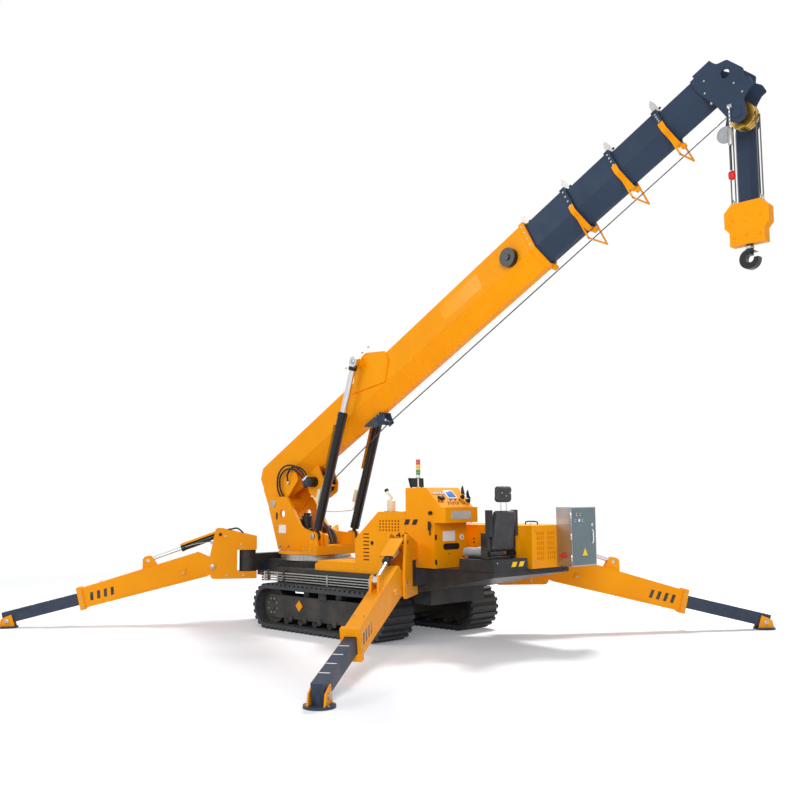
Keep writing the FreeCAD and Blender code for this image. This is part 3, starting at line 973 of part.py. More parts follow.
# Every feature has to be sound before anything is written
for feature in doc.Objects:
    if "Invalid" in feature.State or "Error" in feature.State:
        raise RuntimeError("%s failed to build" % feature.Name)
for feature in NODES:
    if feature.Shape.isNull() or not feature.Shape.isValid():
        raise RuntimeError("%s has no valid shape" % feature.Label)

os.makedirs("parts", exist_ok=True)
for feature in NODES:
    feature.Shape.exportStep("parts/%s.step" % feature.Label)

whole = FreeCAD.BoundBox()
for feature in NODES:
    whole.add(feature.Shape.BoundBox)
print("nodes", len(NODES), "box", whole)
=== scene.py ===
import math
from functools import partial
from itertools import product

import bmesh
import bpy
import numpy as np
from bpy.props import FloatProperty, FloatVectorProperty, PointerProperty
from mathutils import Matrix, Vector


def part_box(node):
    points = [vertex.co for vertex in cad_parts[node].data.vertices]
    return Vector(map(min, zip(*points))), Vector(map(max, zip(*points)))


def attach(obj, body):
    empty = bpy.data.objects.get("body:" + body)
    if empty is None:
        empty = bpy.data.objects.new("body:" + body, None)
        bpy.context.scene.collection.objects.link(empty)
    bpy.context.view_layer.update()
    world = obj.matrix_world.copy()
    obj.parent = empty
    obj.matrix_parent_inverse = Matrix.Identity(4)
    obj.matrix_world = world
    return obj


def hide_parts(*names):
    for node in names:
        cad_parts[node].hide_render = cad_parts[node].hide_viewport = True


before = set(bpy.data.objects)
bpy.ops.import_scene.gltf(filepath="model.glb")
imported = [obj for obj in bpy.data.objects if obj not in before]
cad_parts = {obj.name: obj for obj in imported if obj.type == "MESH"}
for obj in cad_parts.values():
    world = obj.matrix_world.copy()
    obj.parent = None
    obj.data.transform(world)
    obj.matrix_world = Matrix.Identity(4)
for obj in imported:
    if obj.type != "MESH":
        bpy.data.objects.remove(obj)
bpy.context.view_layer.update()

bl_info = {
    "name": "Spider Crane Finish",
    "version": (1, 0, 0),
    "blender": (4, 5, 0),
    "location": "3D View > Sidebar > Crane",
    "description": "Paint, fittings, seat and studio of a tracked spider crane",
    "category": "Object",
}


def crane_origin():
    """Place midway between the two tracks on the floor, from which the crane's own sizes are counted."""
    middles = [np.mean(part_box(name), axis=0) for name in ("track_left", "track_right")]
    return np.mean(middles, axis=0) * np.array([1.0, 1.0, 0.0])


# Where the crane's own frame lies in the row frame, and its main pins
ORIGIN = crane_origin()
FOOT = np.array([1.927, 0.0, 1.675])
BOOM_TILT = math.radians(28.14)
LEG_SLOPE = math.radians(13.5)
LEG_PIN = (0.500, 0.790)
FOOT_REACH = 3.2857
# Outriggers: pivot X, pivot Y, heading in degrees, extra reach of the inner arm
LEGS = {
    "front_left": (1.930, 0.720, 55.9, 0.0),
    "rear_left": (-1.580, 0.930, 122.6, 0.0),
    "rear_right": (-1.580, -0.930, -132.9, 0.1),
    "front_right": (1.930, -0.720, -55.9, 0.0),
}
# Slewing axis, middle of the hook block and outer face of the track frames
SLEW_X = 1.24
BLOCK_X = -5.526
TRACK_FACE = 0.948
# Winch in the boom's frame: drum axis, outside of its cheeks, radius of the rope on it, turns, steps in a turn
WINCH_U, WINCH_V, WINCH_HALF = 0.880, -0.110, 0.139
COIL_RADIUS, COIL_TURNS, COIL_STEPS = 0.109, 14, 20
# Straight run of the hoist line below the boom: where it starts, its height there, its rise along the boom
LINE_START, LINE_HEIGHT, LINE_RISE = 2.45, -0.101, 0.01778
# Padded pieces: size of a voxel, pressure inside the cloth, how full they are
VOXEL, PRESSURE, FILL = 0.008, 4.0, 0.6


# Materials
class Nodes:
    """Short way to add and link the nodes of one material."""

    def __init__(self, name):
        self.material = bpy.data.materials.new(name)
        self.material.use_nodes = True
        self.tree = self.material.node_tree
        self.tree.nodes.clear()
        self.output = self.tree.nodes.new("ShaderNodeOutputMaterial")

    def add(self, kind, **values):
        """Node of a kind; a value is a socket's number, a link or one of the node's own settings."""
        node = self.tree.nodes.new(kind)
        for key, value in values.items():
            if hasattr(node, key) and key not in ("color", "inputs"):
                setattr(node, key, value)
            else:
                self.put(node.inputs[key.replace("_", " ")], value)
        return node

    def put(self, socket, value):
        """Set a socket, or link another node's output to it."""
        if isinstance(value, bpy.types.NodeSocket):
            self.tree.links.new(value, socket)
        else:
            socket.default_value = value

    def noise(self, scale, detail=4.0, rough=0.55, vector=None):
        """Noise over the object's own coordinates."""
        node = self.add("ShaderNodeTexNoise", Scale=scale, Detail=detail, Roughness=rough)
        self.put(node.inputs["Vector"], vector or self.place())
        return node.outputs["Fac"]

    def place(self):
        """Object coordinates."""
        return self.add("ShaderNodeTexCoord").outputs["Object"]

    def ramp(self, factor, low, high, dark, light):
        """Factor spread from low to high into a number between dark and light."""
        node = self.add("ShaderNodeMapRange")
        for key, value in (("Value", factor), ("From Min", low), ("From Max", high),
                           ("To Min", dark), ("To Max", light)):
            self.put(node.inputs[key], value)
        return node.outputs["Result"]

    def mix(self, factor, first, second):
        """Colour between two others."""
        node = self.add("ShaderNodeMix", data_type="RGBA")
        self.put(node.inputs[0], factor)
        self.put(node.inputs[6], first)
        self.put(node.inputs[7], second)
        return node.outputs[2]

    def times(self, first, second):
        """Product of two numbers."""
        node = self.add("ShaderNodeMath", operation="MULTIPLY")
        self.put(node.inputs[0], first)
        self.put(node.inputs[1], second)
        return node.outputs[0]

    def bump(self, height, strength, distance):
        """Surface relief from a height."""
        node = self.add("ShaderNodeBump", Strength=strength, Distance=distance, Height=height)
        return node.outputs["Normal"]

    def finish(self, color, roughness, metallic=0.0, normal=None, coat=0.0, specular=0.5):
        """Principled surface to the output."""
        shader = self.add("ShaderNodeBsdfPrincipled")
        self.put(shader.inputs["Base Color"], color)
        self.put(shader.inputs["Roughness"], roughness)
        shader.inputs["Metallic"].default_value = metallic
        shader.inputs["Coat Weight"].default_value = coat
        shader.inputs["Coat Roughness"].default_value = 0.12
        if normal is not None:
            self.put(shader.inputs["Normal"], normal)
        shader.inputs["Specular IOR Level"].default_value = specular
        self.tree.links.new(shader.outputs[0], self.output.inputs[0])
        return self.material


def srgb(red, green, blue):
    """Linear colour of an 8-bit screen colour."""
    parts = np.array([red, green, blue]) / 255.0
    linear = np.where(parts <= 0.04045, parts / 12.92, ((parts + 0.055) / 1.055) ** 2.4)
    return (*linear.tolist(), 1.0)


def dust_over(nodes, color, dust, low, high, most):
    """Colour under a film of dust that thickens towards the ground and gathers in blotches."""
    axes = nodes.add("ShaderNodeSeparateXYZ", Vector=nodes.place())
    height = nodes.ramp(axes.outputs["Z"], low, high, 1.0, 0.0)
    patch = nodes.ramp(nodes.noise(3.5, 6.0, 0.65), 0.38, 0.72, 0.15, 1.0)
    return nodes.mix(nodes.times(nodes.times(height, patch), most), color, dust)


def paint(name, color, shade, roughness, coat, dusty):
    """Sprayed enamel: faint drift of tone, orange peel, a film of dust low down."""
    nodes = Nodes(name)
    drift = nodes.ramp(nodes.noise(1.3, 3.0), 0.3, 0.7, 0.0, 1.0)
    tone = nodes.mix(drift, color, shade)
    tone = dust_over(nodes, tone, srgb(176, 158, 128), 0.1, 1.5, dusty)
    rough = nodes.ramp(nodes.noise(7.0, 5.0), 0.3, 0.75, roughness - 0.05, roughness + 0.1)
    normal = nodes.bump(nodes.noise(260.0, 2.0), 0.05, 0.0006)
    return nodes.finish(tone, rough, normal=normal, coat=coat, specular=0.12)


def track_rubber():
    """Dusty moulded rubber: pale dust in blotches over the dark rubber, fine grit."""
    nodes = Nodes("track_rubber")
    dust = nodes.ramp(nodes.noise(9.0, 8.0, 0.7), 0.36, 0.7, 0.0, 0.5)
    tone = nodes.mix(dust, srgb(33, 36, 40), srgb(84, 86, 88))
    normal = nodes.bump(nodes.noise(120.0, 6.0, 0.7), 0.35, 0.002)
    return nodes.finish(tone, nodes.ramp(dust, 0.0, 0.6, 0.62, 0.92), normal=normal)


def bare_steel(name, color, roughness, scale=40.0):
    """Machined or brushed steel with fine lines and a little stain."""
    nodes = Nodes(name)
    stretch = nodes.add("ShaderNodeMapping")
    nodes.put(stretch.inputs["Vector"], nodes.place())
    stretch.inputs["Scale"].default_value = (1.0, 1.0, 22.0)
    lines = nodes.noise(scale, 3.0, 0.5, stretch.outputs["Vector"])
    stain = nodes.ramp(nodes.noise(5.0, 5.0), 0.35, 0.75, 0.0, 0.35)
    tone = nodes.mix(stain, color, tuple(0.6 * part for part in color[:3]) + (1.0,))
    rough = nodes.ramp(lines, 0.3, 0.7, roughness - 0.07, roughness + 0.1)
    return nodes.finish(tone, rough, metallic=1.0, normal=nodes.bump(lines, 0.12, 0.0004))


def plastic(name, color, roughness, bump=0.12, scale=300.0):
    """Moulded plastic or rubber with a fine grain."""
    nodes = Nodes(name)
    grain = nodes.noise(scale, 3.0)
    tone = nodes.mix(nodes.ramp(nodes.noise(6.0, 4.0), 0.3, 0.7, 0.0, 0.3), color,
                     tuple(min(1.0, part * 1.5 + 0.01) for part in color[:3]) + (1.0,))
    return nodes.finish(tone, nodes.ramp(grain, 0.3, 0.7, roughness - 0.05, roughness + 0.08),
                        normal=nodes.bump(grain, bump, 0.0006), specular=0.25)


def seat_vinyl(name, deep, worn_tone):
    """Black vinyl with a pebbled grain and softly worn, paler blotches."""
    nodes = Nodes(name)
    cells = nodes.add("ShaderNodeTexVoronoi", Scale=260.0)
    nodes.put(cells.inputs["Vector"], nodes.place())
    worn = nodes.ramp(nodes.noise(4.0, 4.0), 0.4, 0.7, 0.0, 0.5)
    tone = nodes.mix(worn, deep, worn_tone)
    return nodes.finish(tone, nodes.ramp(cells.outputs["Distance"], 0.0, 0.6, 0.42, 0.6),
                        normal=nodes.bump(cells.outputs["Distance"], 0.25, 0.0008))


def lamp_bands():
    """Signal lamp: red over amber over green lenses with clear caps, told apart by height."""
    nodes = Nodes("lamp_bands")
    axes = nodes.add("ShaderNodeSeparateXYZ", Vector=nodes.place())
    bands = nodes.add("ShaderNodeValToRGB")
    nodes.put(bands.inputs["Fac"], nodes.ramp(axes.outputs["Z"], 1.98, 2.23, 0.0, 1.0))
    table = [(0.0, (0.75, 0.76, 0.74, 1)), (0.18, srgb(20, 150, 70)), (0.44, srgb(250, 200, 40)),
             (0.68, srgb(225, 45, 30)), (0.93, (0.8, 0.8, 0.8, 1))]
    bands.color_ramp.interpolation = "CONSTANT"
    while len(bands.color_ramp.elements) < len(table):
        bands.color_ramp.elements.new(0.5)
    for element, (at, color) in zip(bands.color_ramp.elements, table):
        element.position = at
        element.color = color
    ribs = nodes.add("ShaderNodeTexWave", Scale=90.0, bands_direction="Z")
    nodes.put(ribs.inputs["Vector"], nodes.place())
    return nodes.finish(bands.outputs["Color"], 0.22, normal=nodes.bump(ribs.outputs["Fac"], 0.2, 0.0008))


MATERIALS = {}


def make_materials(look):
    """All finishes of the crane, by a short name."""
    yellow = (*look.yellow, 1.0)
    deep = tuple(a * b for a, b in zip(yellow[:3], (0.93, 0.86, 0.8))) + (1.0,)
    slate = (*look.slate, 1.0)
    MATERIALS.update(
        yellow=paint("yellow_enamel", yellow, deep, 0.42, 0.0, 0.06),
        slate=paint("slate_enamel", slate, tuple(0.8 * part for part in slate[:3]) + (1.0,), 0.42, 0.0, 0.08),
        frame=paint("frame_enamel", srgb(44, 48, 54), srgb(34, 37, 42), 0.5, 0.1, 0.18),
        black=paint("black_enamel", srgb(22, 22, 25), srgb(30, 30, 34), 0.32, 0.4, 0.3),
        rubber=track_rubber(),
        chrome=bare_steel("rod_chrome", srgb(214, 216, 220), 0.12),
        steel=bare_steel("machined_steel", srgb(168, 168, 166), 0.38),
        stainless=bare_steel("brushed_cabinet", srgb(176, 182, 188), 0.34),
        iron=bare_steel("cast_iron", srgb(96, 96, 96), 0.6),
        brass=bare_steel("brass_sheave", srgb(214, 170, 80), 0.35),
        rope=bare_steel("wire_rope", srgb(92, 92, 90), 0.5),
        plastic=plastic("black_plastic", srgb(28, 28, 30), 0.45),
        cream=plastic("cream_plastic", srgb(216, 208, 178), 0.4),
        # Dark brown of the vent backs is painted shade inside the hood
        vent=plastic("vent_painted_shade", srgb(96, 30, 12), 0.8),
        grey=plastic("grey_plastic", srgb(150, 152, 154), 0.45),
        white=plastic("white_plate", srgb(232, 234, 232), 0.4, 0.03),
        red=plastic("red_plastic", srgb(196, 28, 24), 0.35, 0.05),
        green=plastic("green_plastic", srgb(30, 140, 60), 0.35, 0.05),
        blue=plastic("blue_screen", srgb(60, 120, 190), 0.2, 0.02),
        vinyl=seat_vinyl("seat_vinyl", srgb(34, 34, 37), srgb(66, 66, 70)),
        # Cushion vinyl: black vinyl drawn pale grey, which is painted sunlight on the cushion
        pale_vinyl=seat_vinyl("cushion_vinyl_painted_sunlight", srgb(142, 146, 152), srgb(172, 176, 181)),
        hose=plastic("black_hose", srgb(24, 24, 26), 0.42, 0.2, 160.0),
        rubber_seal=plastic("seal_rubber", srgb(20, 20, 20), 0.6),
        gauge=plastic("gauge_face", srgb(228, 230, 232), 0.25, 0.02),
        plate=bare_steel("blank_plate", srgb(186, 188, 190), 0.4),
        stripe=plastic("yellow_dash", srgb(250, 196, 20), 0.4, 0.03),
        yellow_plate=paint("plate_enamel", tuple(min(1.0, 1.04 * part) for part in yellow[:3]) + (1.0,),
                           yellow, 0.3, 0.2, 0.05),
        lamp=lamp_bands(),
        door=paint("door_enamel", srgb(112, 126, 130), srgb(100, 114, 118), 0.4, 0.1, 0.05),
    )


# Finish of each CAD node that stays in view
NODE_FINISH = {
    "chassis_frame": "frame", "slewing_ring": "steel", "side_pipes": "steel", "engine_hood": "yellow",
    "engine_block": "iron", "side_hood": "yellow", "low_cover": "yellow", "console": "yellow",
    "lamp_stack": "lamp", "seat_box": "frame", "seat_cushion": "vinyl", "seat_back": "vinyl",
    "seat_frame": "black", "switch_cabinet": "stainless", "cabinet_door": "stainless",
    "track_left": "rubber", "track_right": "rubber", "track_frame_left": "frame",
    "track_frame_right": "frame", "turntable": "yellow", "slew_motor": "black", "boom_base": "yellow",
    "boom_stage_2": "slate", "boom_stage_3": "slate", "boom_stage_4": "slate", "boom_stage_5": "slate",
    "rope_guide": "slate", "winch_frame": "yellow", "winch_motor": "black", "winch_drum": "black",
    "hose_reel": "black", "head_sheaves": "brass", "fly_jib": "slate", "hoist_falls": "rope",
    "hook_block": "yellow", "hook": "black", "lift_barrels": "black", "lift_rods": "chrome",
}
LEG_FINISH = {"leg_head": "yellow", "leg_box": "yellow", "leg_arm": "slate", "leg_barrel": "black",
              "leg_rod": "chrome"}


# Mesh tools
def to_row(points):
    """Points of the crane's own frame in the row frame."""
    return np.asarray(points, float) + ORIGIN


def boom_points(points):
    """Points (along the boom, left, across the boom) in the row frame.

    The boom runs backwards and up from its foot pin: x = foot - u cos + v sin, z = foot + u sin + v cos.
    """
    u, y, v = np.moveaxis(np.asarray(points, float), -1, 0)
    c, s = math.cos(BOOM_TILT), math.sin(BOOM_TILT)
    return to_row(np.stack([FOOT[0] - u * c + v * s, y, FOOT[2] + u * s + v * c], axis=-1))


def leg_points(name, points):
    """Points (away from the swing axis, left of the arm, up) of an outrigger in the row frame."""
    x, y, heading, _ = LEGS[name]
    s, w, z = np.moveaxis(np.asarray(points, float), -1, 0)
    c, d = math.cos(math.radians(heading)), math.sin(math.radians(heading))
    return to_row(np.stack([x + s * c - w * d, y + s * d + w * c, z], axis=-1))


def arm_points(name, points):
    """Points (along the sloping arm from its lift pin, left, square to the arm) in the row frame."""
    a, w, b = np.moveaxis(np.asarray(points, float), -1, 0)
    c, s = math.cos(LEG_SLOPE), math.sin(LEG_SLOPE)
    level = np.stack([LEG_PIN[0] + a * c + b * s, w, LEG_PIN[1] - a * s + b * c], axis=-1)
    return leg_points(name, level)


def stand(points, at, up, side=(1.0, 0.0, 0.0)):
    """Points of a shape drawn round its own Z, moved to a place with that Z along another line."""
    up = np.asarray(up, float) / np.linalg.norm(up)
    side = np.asarray(side, float) - np.dot(side, up) * up
    if np.linalg.norm(side) < 0.05:
        side = np.array([0.0, 1.0, 0.0]) - up[1] * up
    side = side / np.linalg.norm(side)
    return np.asarray(at, float) + points @ np.array([side, np.cross(up, side), up])


def grid_faces(rows, columns):
    """Quads between neighbouring rings of a grid whose columns close on themselves, and its two end caps."""
    i, j = np.meshgrid(np.arange(rows - 1), np.arange(columns), indexing="ij")
    k = (j + 1) % columns
    quads = np.stack([i * columns + j, i * columns + k, (i + 1) * columns + k, (i + 1) * columns + j], axis=-1)
    first = list(range(columns))[::-1]
    last = [(rows - 1) * columns + j for j in range(columns)]
    return quads.reshape(-1, 4).tolist() + [first, last]


def turned(profile, count=24):
    """Turned shape: each (radius, height) of the profile swept once round Z, its ends closed flat."""
    radius, height = np.asarray(profile, float).T
    angle = np.arange(count) * 2.0 * math.pi / count
    points = np.stack([np.outer(radius, np.cos(angle)), np.outer(radius, np.sin(angle)),
                       np.outer(height, np.ones(count))], axis=-1)
    return points.reshape(-1, 3), grid_faces(len(radius), count)


def block(size, rounding, steps=2):
    """Rounded block: a small sphere whose eight eighths are moved out to the corners of the block."""
    quarter = np.linspace(0.0, math.pi / 2, steps + 1)
    round_angle = np.concatenate([quarter + math.pi / 2 * turn for turn in range(4)])
    turn_sign = np.repeat(np.array([[1, 1], [-1, 1], [-1, -1], [1, -1]]), steps + 1, axis=0)
    rise = np.concatenate([quarter - math.pi / 2, quarter])
    rise_sign = np.repeat([-1.0, 1.0], steps + 1)
    half = np.asarray(size, float) / 2.0 - rounding
    x = rounding * np.outer(np.cos(rise), np.cos(round_angle)) + half[0] * turn_sign[:, 0]
    y = rounding * np.outer(np.cos(rise), np.sin(round_angle)) + half[1] * turn_sign[:, 1]
    z = np.outer(rounding * np.sin(rise) + half[2] * rise_sign, np.ones(len(round_angle)))
    return np.stack([x, y, z], axis=-1).reshape(-1, 3), grid_faces(len(rise), len(round_angle))


def sheet(outline, thick, edge=0.0015):
    """Flat plate: its outline carried through four levels, the outer two drawn in by the edge's chamfer."""
    outline = np.asarray(outline, float)
    centre = outline.mean(axis=0)
    reach = np.linalg.norm(outline - centre, axis=1).max()
    inner = centre + (outline - centre) * (1.0 - edge / reach)
    levels = [(inner, 0.0), (outline, edge), (outline, thick - edge), (inner, thick)]
    points = np.vstack([np.column_stack([ring, np.full(len(ring), height)]) for ring, height in levels])
    return points, grid_faces(4, len(outline))


def spline(points, count=8):
    """Smooth path through points: a Catmull-Rom cubic between each two."""
    line = np.asarray(points, float)
    line = np.vstack([2 * line[0] - line[1], line, 2 * line[-1] - line[-2]])
    t = np.linspace(0.0, 1.0, count, endpoint=False)[:, None, None]
    a, b, c, d = line[:-3], line[1:-2], line[2:-1], line[3:]
    bend = 0.5 * (2 * b + (c - a) * t + (2 * a - 5 * b + 4 * c - d) * t ** 2 + (3 * b - a - 3 * c + d) * t ** 3)
    return np.vstack([bend.transpose(1, 0, 2).reshape(-1, 3), line[-2]])


def hose(path, radius, sides=12):
    """Round tube along a path: circles square to it, turned by the plane that the path lies nearest to."""
    path = np.asarray(path, float)
    along = np.gradient(path, axis=0)
    along /= np.linalg.norm(along, axis=1, keepdims=True)
    flat = np.linalg.svd(path - path.mean(axis=0))[2][2]
    across = np.cross(along, flat)
    across /= np.linalg.norm(across, axis=1, keepdims=True)
    other = np.cross(along, across)
    angle = np.arange(sides) * 2.0 * math.pi / sides
    ring = (across[:, None] * np.cos(angle)[:, None] + other[:, None] * np.sin(angle)[:, None]) * radius
    return (path[:, None] + ring).reshape(-1, 3), grid_faces(len(path), sides)


def bolt(radius):
    """Hexagon head on a round washer: two turned profiles of few faces."""
    washer = turned([(1.25 * radius, 0.0), (1.25 * radius, 0.25 * radius)], 12)
    head = turned([(radius, 0.2 * radius), (radius, 0.85 * radius), (0.82 * radius, 1.0 * radius)], 6)
    shift = len(washer[0])
    return np.vstack([washer[0], head[0]]), washer[1] + [[at + shift for at in face] for face in head[1]]


def oblong(half_wide, half_tall, *thick_edge):
    """Flat oblong plate round its own middle."""
    wide, tall = half_wide, half_tall
    return sheet([(-wide, -tall), (wide, -tall), (wide, tall), (-wide, tall)], *thick_edge)


def fitting(radii, heights):
    """Hexagon pipe fitting: neck, nut and tip of these radii, with the heights of its four upper rings."""
    neck, nut, tip = radii
    low, start, stop, top = heights
    return turned([(neck, 0.0), (neck, low), (nut, start), (nut, stop), (tip, top)], 6)


def knob(radius, height):
    """Round button: straight skirt, rounded brow and a slightly hollow top."""
    return turned([(radius, 0.0), (radius, 0.7 * height), (0.9 * radius, 0.95 * height), (0.7 * radius, height),
                   (0.25 * radius, 0.93 * height)], 20)


class Heap:
    """Shapes of several finishes gathered into one piece that rides on one body.

    Their places are counted in one frame: the crane's own, the boom's or an outrigger's.
    """

    def __init__(self, name, body, frame_of=to_row):
        self.name, self.body, self.frame_of = name, body, frame_of
        self.points, self.faces, self.slots, self.finishes, self.size = [], [], [], [], 0

    def add(self, shape, finish, at=(0.0, 0.0, 0.0), up=(0.0, 0.0, 1.0), side=(1.0, 0.0, 0.0), frame_of=None):
        """One shape stood at a place of the heap's frame, or of another where one is named."""
        points, faces = shape
        if finish not in self.finishes:
            self.finishes.append(finish)
        self.points.append((frame_of or self.frame_of)(stand(points, at, up, side)))
        self.faces += [[corner + self.size for corner in face] for face in faces]
        self.slots += [self.finishes.index(finish)] * len(faces)
        self.size += len(points)

    def bolts(self, radius, places, up=(0.0, 0.0, 1.0)):
        """The same steel bolt at several places."""
        for at in places:
            self.add(bolt(radius), "steel", at, up)

    def lay(self, smooth=32.0):
        """Make the object: ends and poles joined, faces turned outwards, sharp edges kept crisp."""
        mesh = bpy.data.meshes.new(self.name)
        mesh.from_pydata(np.vstack(self.points).tolist(), [], self.faces)
        mesh.polygons.foreach_set("material_index", self.slots)
        work = bmesh.new()
        work.from_mesh(mesh)
        bmesh.ops.remove_doubles(work, verts=work.verts, dist=1e-5)
        bmesh.ops.recalc_face_normals(work, faces=work.faces)
        work.to_mesh(mesh)
        work.free()
        for finish in self.finishes:
            mesh.materials.append(MATERIALS[finish])
        mesh.polygons.foreach_set("use_smooth", [True] * len(mesh.polygons))
        mesh.set_sharp_from_angle(angle=math.radians(smooth))
        mesh.update()
        piece = bpy.data.objects.new(self.name, mesh)
        bpy.context.scene.collection.objects.link(piece)
        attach(piece, self.body)
        return piece


def floor_finish(nodes):
    """Pale matt floor that keeps shadows; for camera and mirror rays it is lifted towards white far away."""
    drift = nodes.ramp(nodes.noise(0.6, 4.0), 0.3, 0.7, 0.0, 1.0)
    tone = nodes.mix(drift, (0.80, 0.80, 0.82, 1), (0.83, 0.83, 0.84, 1))
    matt = nodes.add("ShaderNodeBsdfDiffuse", Color=tone)
    glow = nodes.add("ShaderNodeEmission", Strength=1.0)
    glow.inputs["Color"].default_value = (1.0, 1.0, 1.0, 1.0)
    lift = nodes.add("ShaderNodeEmission", Strength=0.16)
    lift.inputs["Color"].default_value = (0.93, 0.96, 1.0, 1.0)
    near = nodes.add("ShaderNodeAddShader")
    nodes.put(near.inputs[0], matt.outputs[0])
    nodes.put(near.inputs[1], lift.outputs[0])
    reach = nodes.add("ShaderNodeVectorMath", operation="LENGTH")
    nodes.put(reach.inputs[0], nodes.place())
    far = nodes.ramp(reach.outputs["Value"], 7.0, 14.0, 0.0, 1.0)
    seen = nodes.add("ShaderNodeMixShader")
    nodes.put(seen.inputs[0], far)
    nodes.put(seen.inputs[1], near.outputs[0])
    nodes.put(seen.inputs[2], glow.outputs[0])
    rays = nodes.add("ShaderNodeLightPath")
    some = nodes.add("ShaderNodeMath", operation="MAXIMUM")
    nodes.put(some.inputs[0], rays.outputs["Is Camera Ray"])
    nodes.put(some.inputs[1], rays.outputs["Is Glossy Ray"])
    whole = nodes.add("ShaderNodeMixShader")
    nodes.put(whole.inputs[0], some.outputs[0])
    nodes.put(whole.inputs[1], matt.outputs[0])
    nodes.put(whole.inputs[2], seen.outputs[0])
    nodes.tree.links.new(whole.outputs[0], nodes.output.inputs[0])
    return nodes.material


def axes_matrix(right, up, back, place):
    """Matrix of a lamp or camera from its three axes and its place."""
    return Matrix(np.vstack([np.column_stack([right, up, back, place]), (0, 0, 0, 1)]).tolist())


def studio(look):
    """Pale floor and sky, key lamp high on the crane's right, fill from the camera's side, side lamp from the
    front left, and the camera."""
    half = 60.0
    steps = np.linspace(-half, half, 3)
    grid_x, grid_y = np.meshgrid(steps, steps, indexing="ij")
    points = np.stack([grid_x.ravel(), grid_y.ravel(), np.zeros(9)], axis=1)
    faces = [(3 * i + j, 3 * i + 3 + j, 3 * i + 4 + j, 3 * i + 1 + j) for i in range(2) for j in range(2)]
    mesh = bpy.data.meshes.new("studio_floor")
    mesh.from_pydata(points.tolist(), [], faces)
    nodes = Nodes("studio_floor")
    mesh.materials.append(floor_finish(nodes))
    floor = bpy.data.objects.new("studio_floor", mesh)
    bpy.context.scene.collection.objects.link(floor)

    world = bpy.data.worlds.new("studio_world")
    bpy.context.scene.world = world
    world.use_nodes = True
    tree = world.node_tree
    tree.nodes.clear()
    out = tree.nodes.new("ShaderNodeOutputWorld")
    blend = tree.nodes.new("ShaderNodeMixShader")
    rays = tree.nodes.new("ShaderNodeLightPath")
    seen = tree.nodes.new("ShaderNodeMath")
    seen.operation = "MAXIMUM"
    tree.links.new(rays.outputs["Is Camera Ray"], seen.inputs[0])
    tree.links.new(rays.outputs["Is Glossy Ray"], seen.inputs[1])
    tree.links.new(seen.outputs[0], blend.inputs[0])
    for slot, (tint, strength) in enumerate((((0.93, 0.96, 1.0, 1), look.sky), ((1, 1, 1, 1), 1.0))):
        light = tree.nodes.new("ShaderNodeBackground")
        light.inputs["Color"].default_value = tint
        light.inputs["Strength"].default_value = strength
        tree.links.new(light.outputs[0], blend.inputs[1 + slot])
    tree.links.new(blend.outputs[0], out.inputs[0])

    # Lamps: name, place, target, size, power
    lamps = [("key", (2.5, -7.5, 13.0), (0, 0, 1.0), 3.4, look.key),
             ("fill", (-11.0, 11.0, 7.0), (0, 0, 2.2), 7.0, look.key * 0.42),
             ("side", (6.0, 12.0, 8.0), (0, 0, 2.0), 6.0, look.key * 0.18)]
    for name, place, target, width, power in lamps:
        data = bpy.data.lights.new(name, "AREA")
        data.size = width
        data.energy = power
        lamp = bpy.data.objects.new(name, data)
        back = (np.array(place) - np.array(target)) / np.linalg.norm(np.array(place) - np.array(target))
        right = np.cross((0, 0, 1.0), back)
        right /= np.linalg.norm(right)
        up = np.cross(back, right)
        lamp.matrix_world = axes_matrix(right, up, back, place)
        bpy.context.scene.collection.objects.link(lamp)

    forward = np.array([0.7165 * math.cos(look.pitch), -0.6975 * math.cos(look.pitch), math.sin(look.pitch)])
    right = np.array([-0.6975, -0.7165, 0.0])
    right /= np.linalg.norm(right)
    up = np.cross(right, forward)
    turn = look.roll
    right, up = right * math.cos(turn) - up * math.sin(turn), up * math.cos(turn) + right * math.sin(turn)
    place = to_row((-9.689, 8.902, 1.718))
    data = bpy.data.cameras.new("photo_camera")
    data.lens = look.focal
    data.sensor_width = 36.0
    data.clip_end = 300.0
    camera = bpy.data.objects.new("photo_camera", data)
    camera.matrix_world = axes_matrix(right, up, -forward, place)
    bpy.context.scene.collection.objects.link(camera)
    bpy.context.scene.camera = camera
    bpy.context.scene.view_settings.view_transform = "Standard"


class CraneLook(bpy.types.PropertyGroup):
    """Colours, light and camera that a user would change."""

    yellow: FloatVectorProperty(name="Yellow", description="Enamel of the body, boom and outriggers",
                                subtype="COLOR", size=3, min=0, max=1, default=(0.92, 0.345, 0.0))
    slate: FloatVectorProperty(name="Slate", description="Enamel of the sliding stages and arms",
                               subtype="COLOR", size=3, min=0, max=1, default=(0.034, 0.053, 0.092))
    sky: FloatProperty(name="Sky", description="Strength of the light from all round", default=0.44, min=0)
    key: FloatProperty(name="Key", description="Power of the key lamp", default=2500.0, min=0, unit="POWER")
    pitch: FloatProperty(name="Pitch", description="Camera's upward tilt", subtype="ANGLE",
                         default=math.radians(6.03))
    roll: FloatProperty(name="Roll", description="Camera's roll", subtype="ANGLE", default=0.0075)
    focal: FloatProperty(name="Focal length", description="Camera's focal length", unit="CAMERA",
                         default=42.7455)


class CRANE_OT_finishes(bpy.types.Operator):
    """Make the finishes and put them on the crane's own parts"""

    bl_idname = "crane.finishes"
    bl_label = "Finishes"

    def execute(self, context):
        make_materials(context.scene.crane_look)
        for name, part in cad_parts.items():
            family = name.rsplit("_", 2)[0]
            finish = NODE_FINISH.get(name) or LEG_FINISH[family]
            part.data.materials.clear()
            part.data.materials.append(MATERIALS[finish])
        return {"FINISHED"}


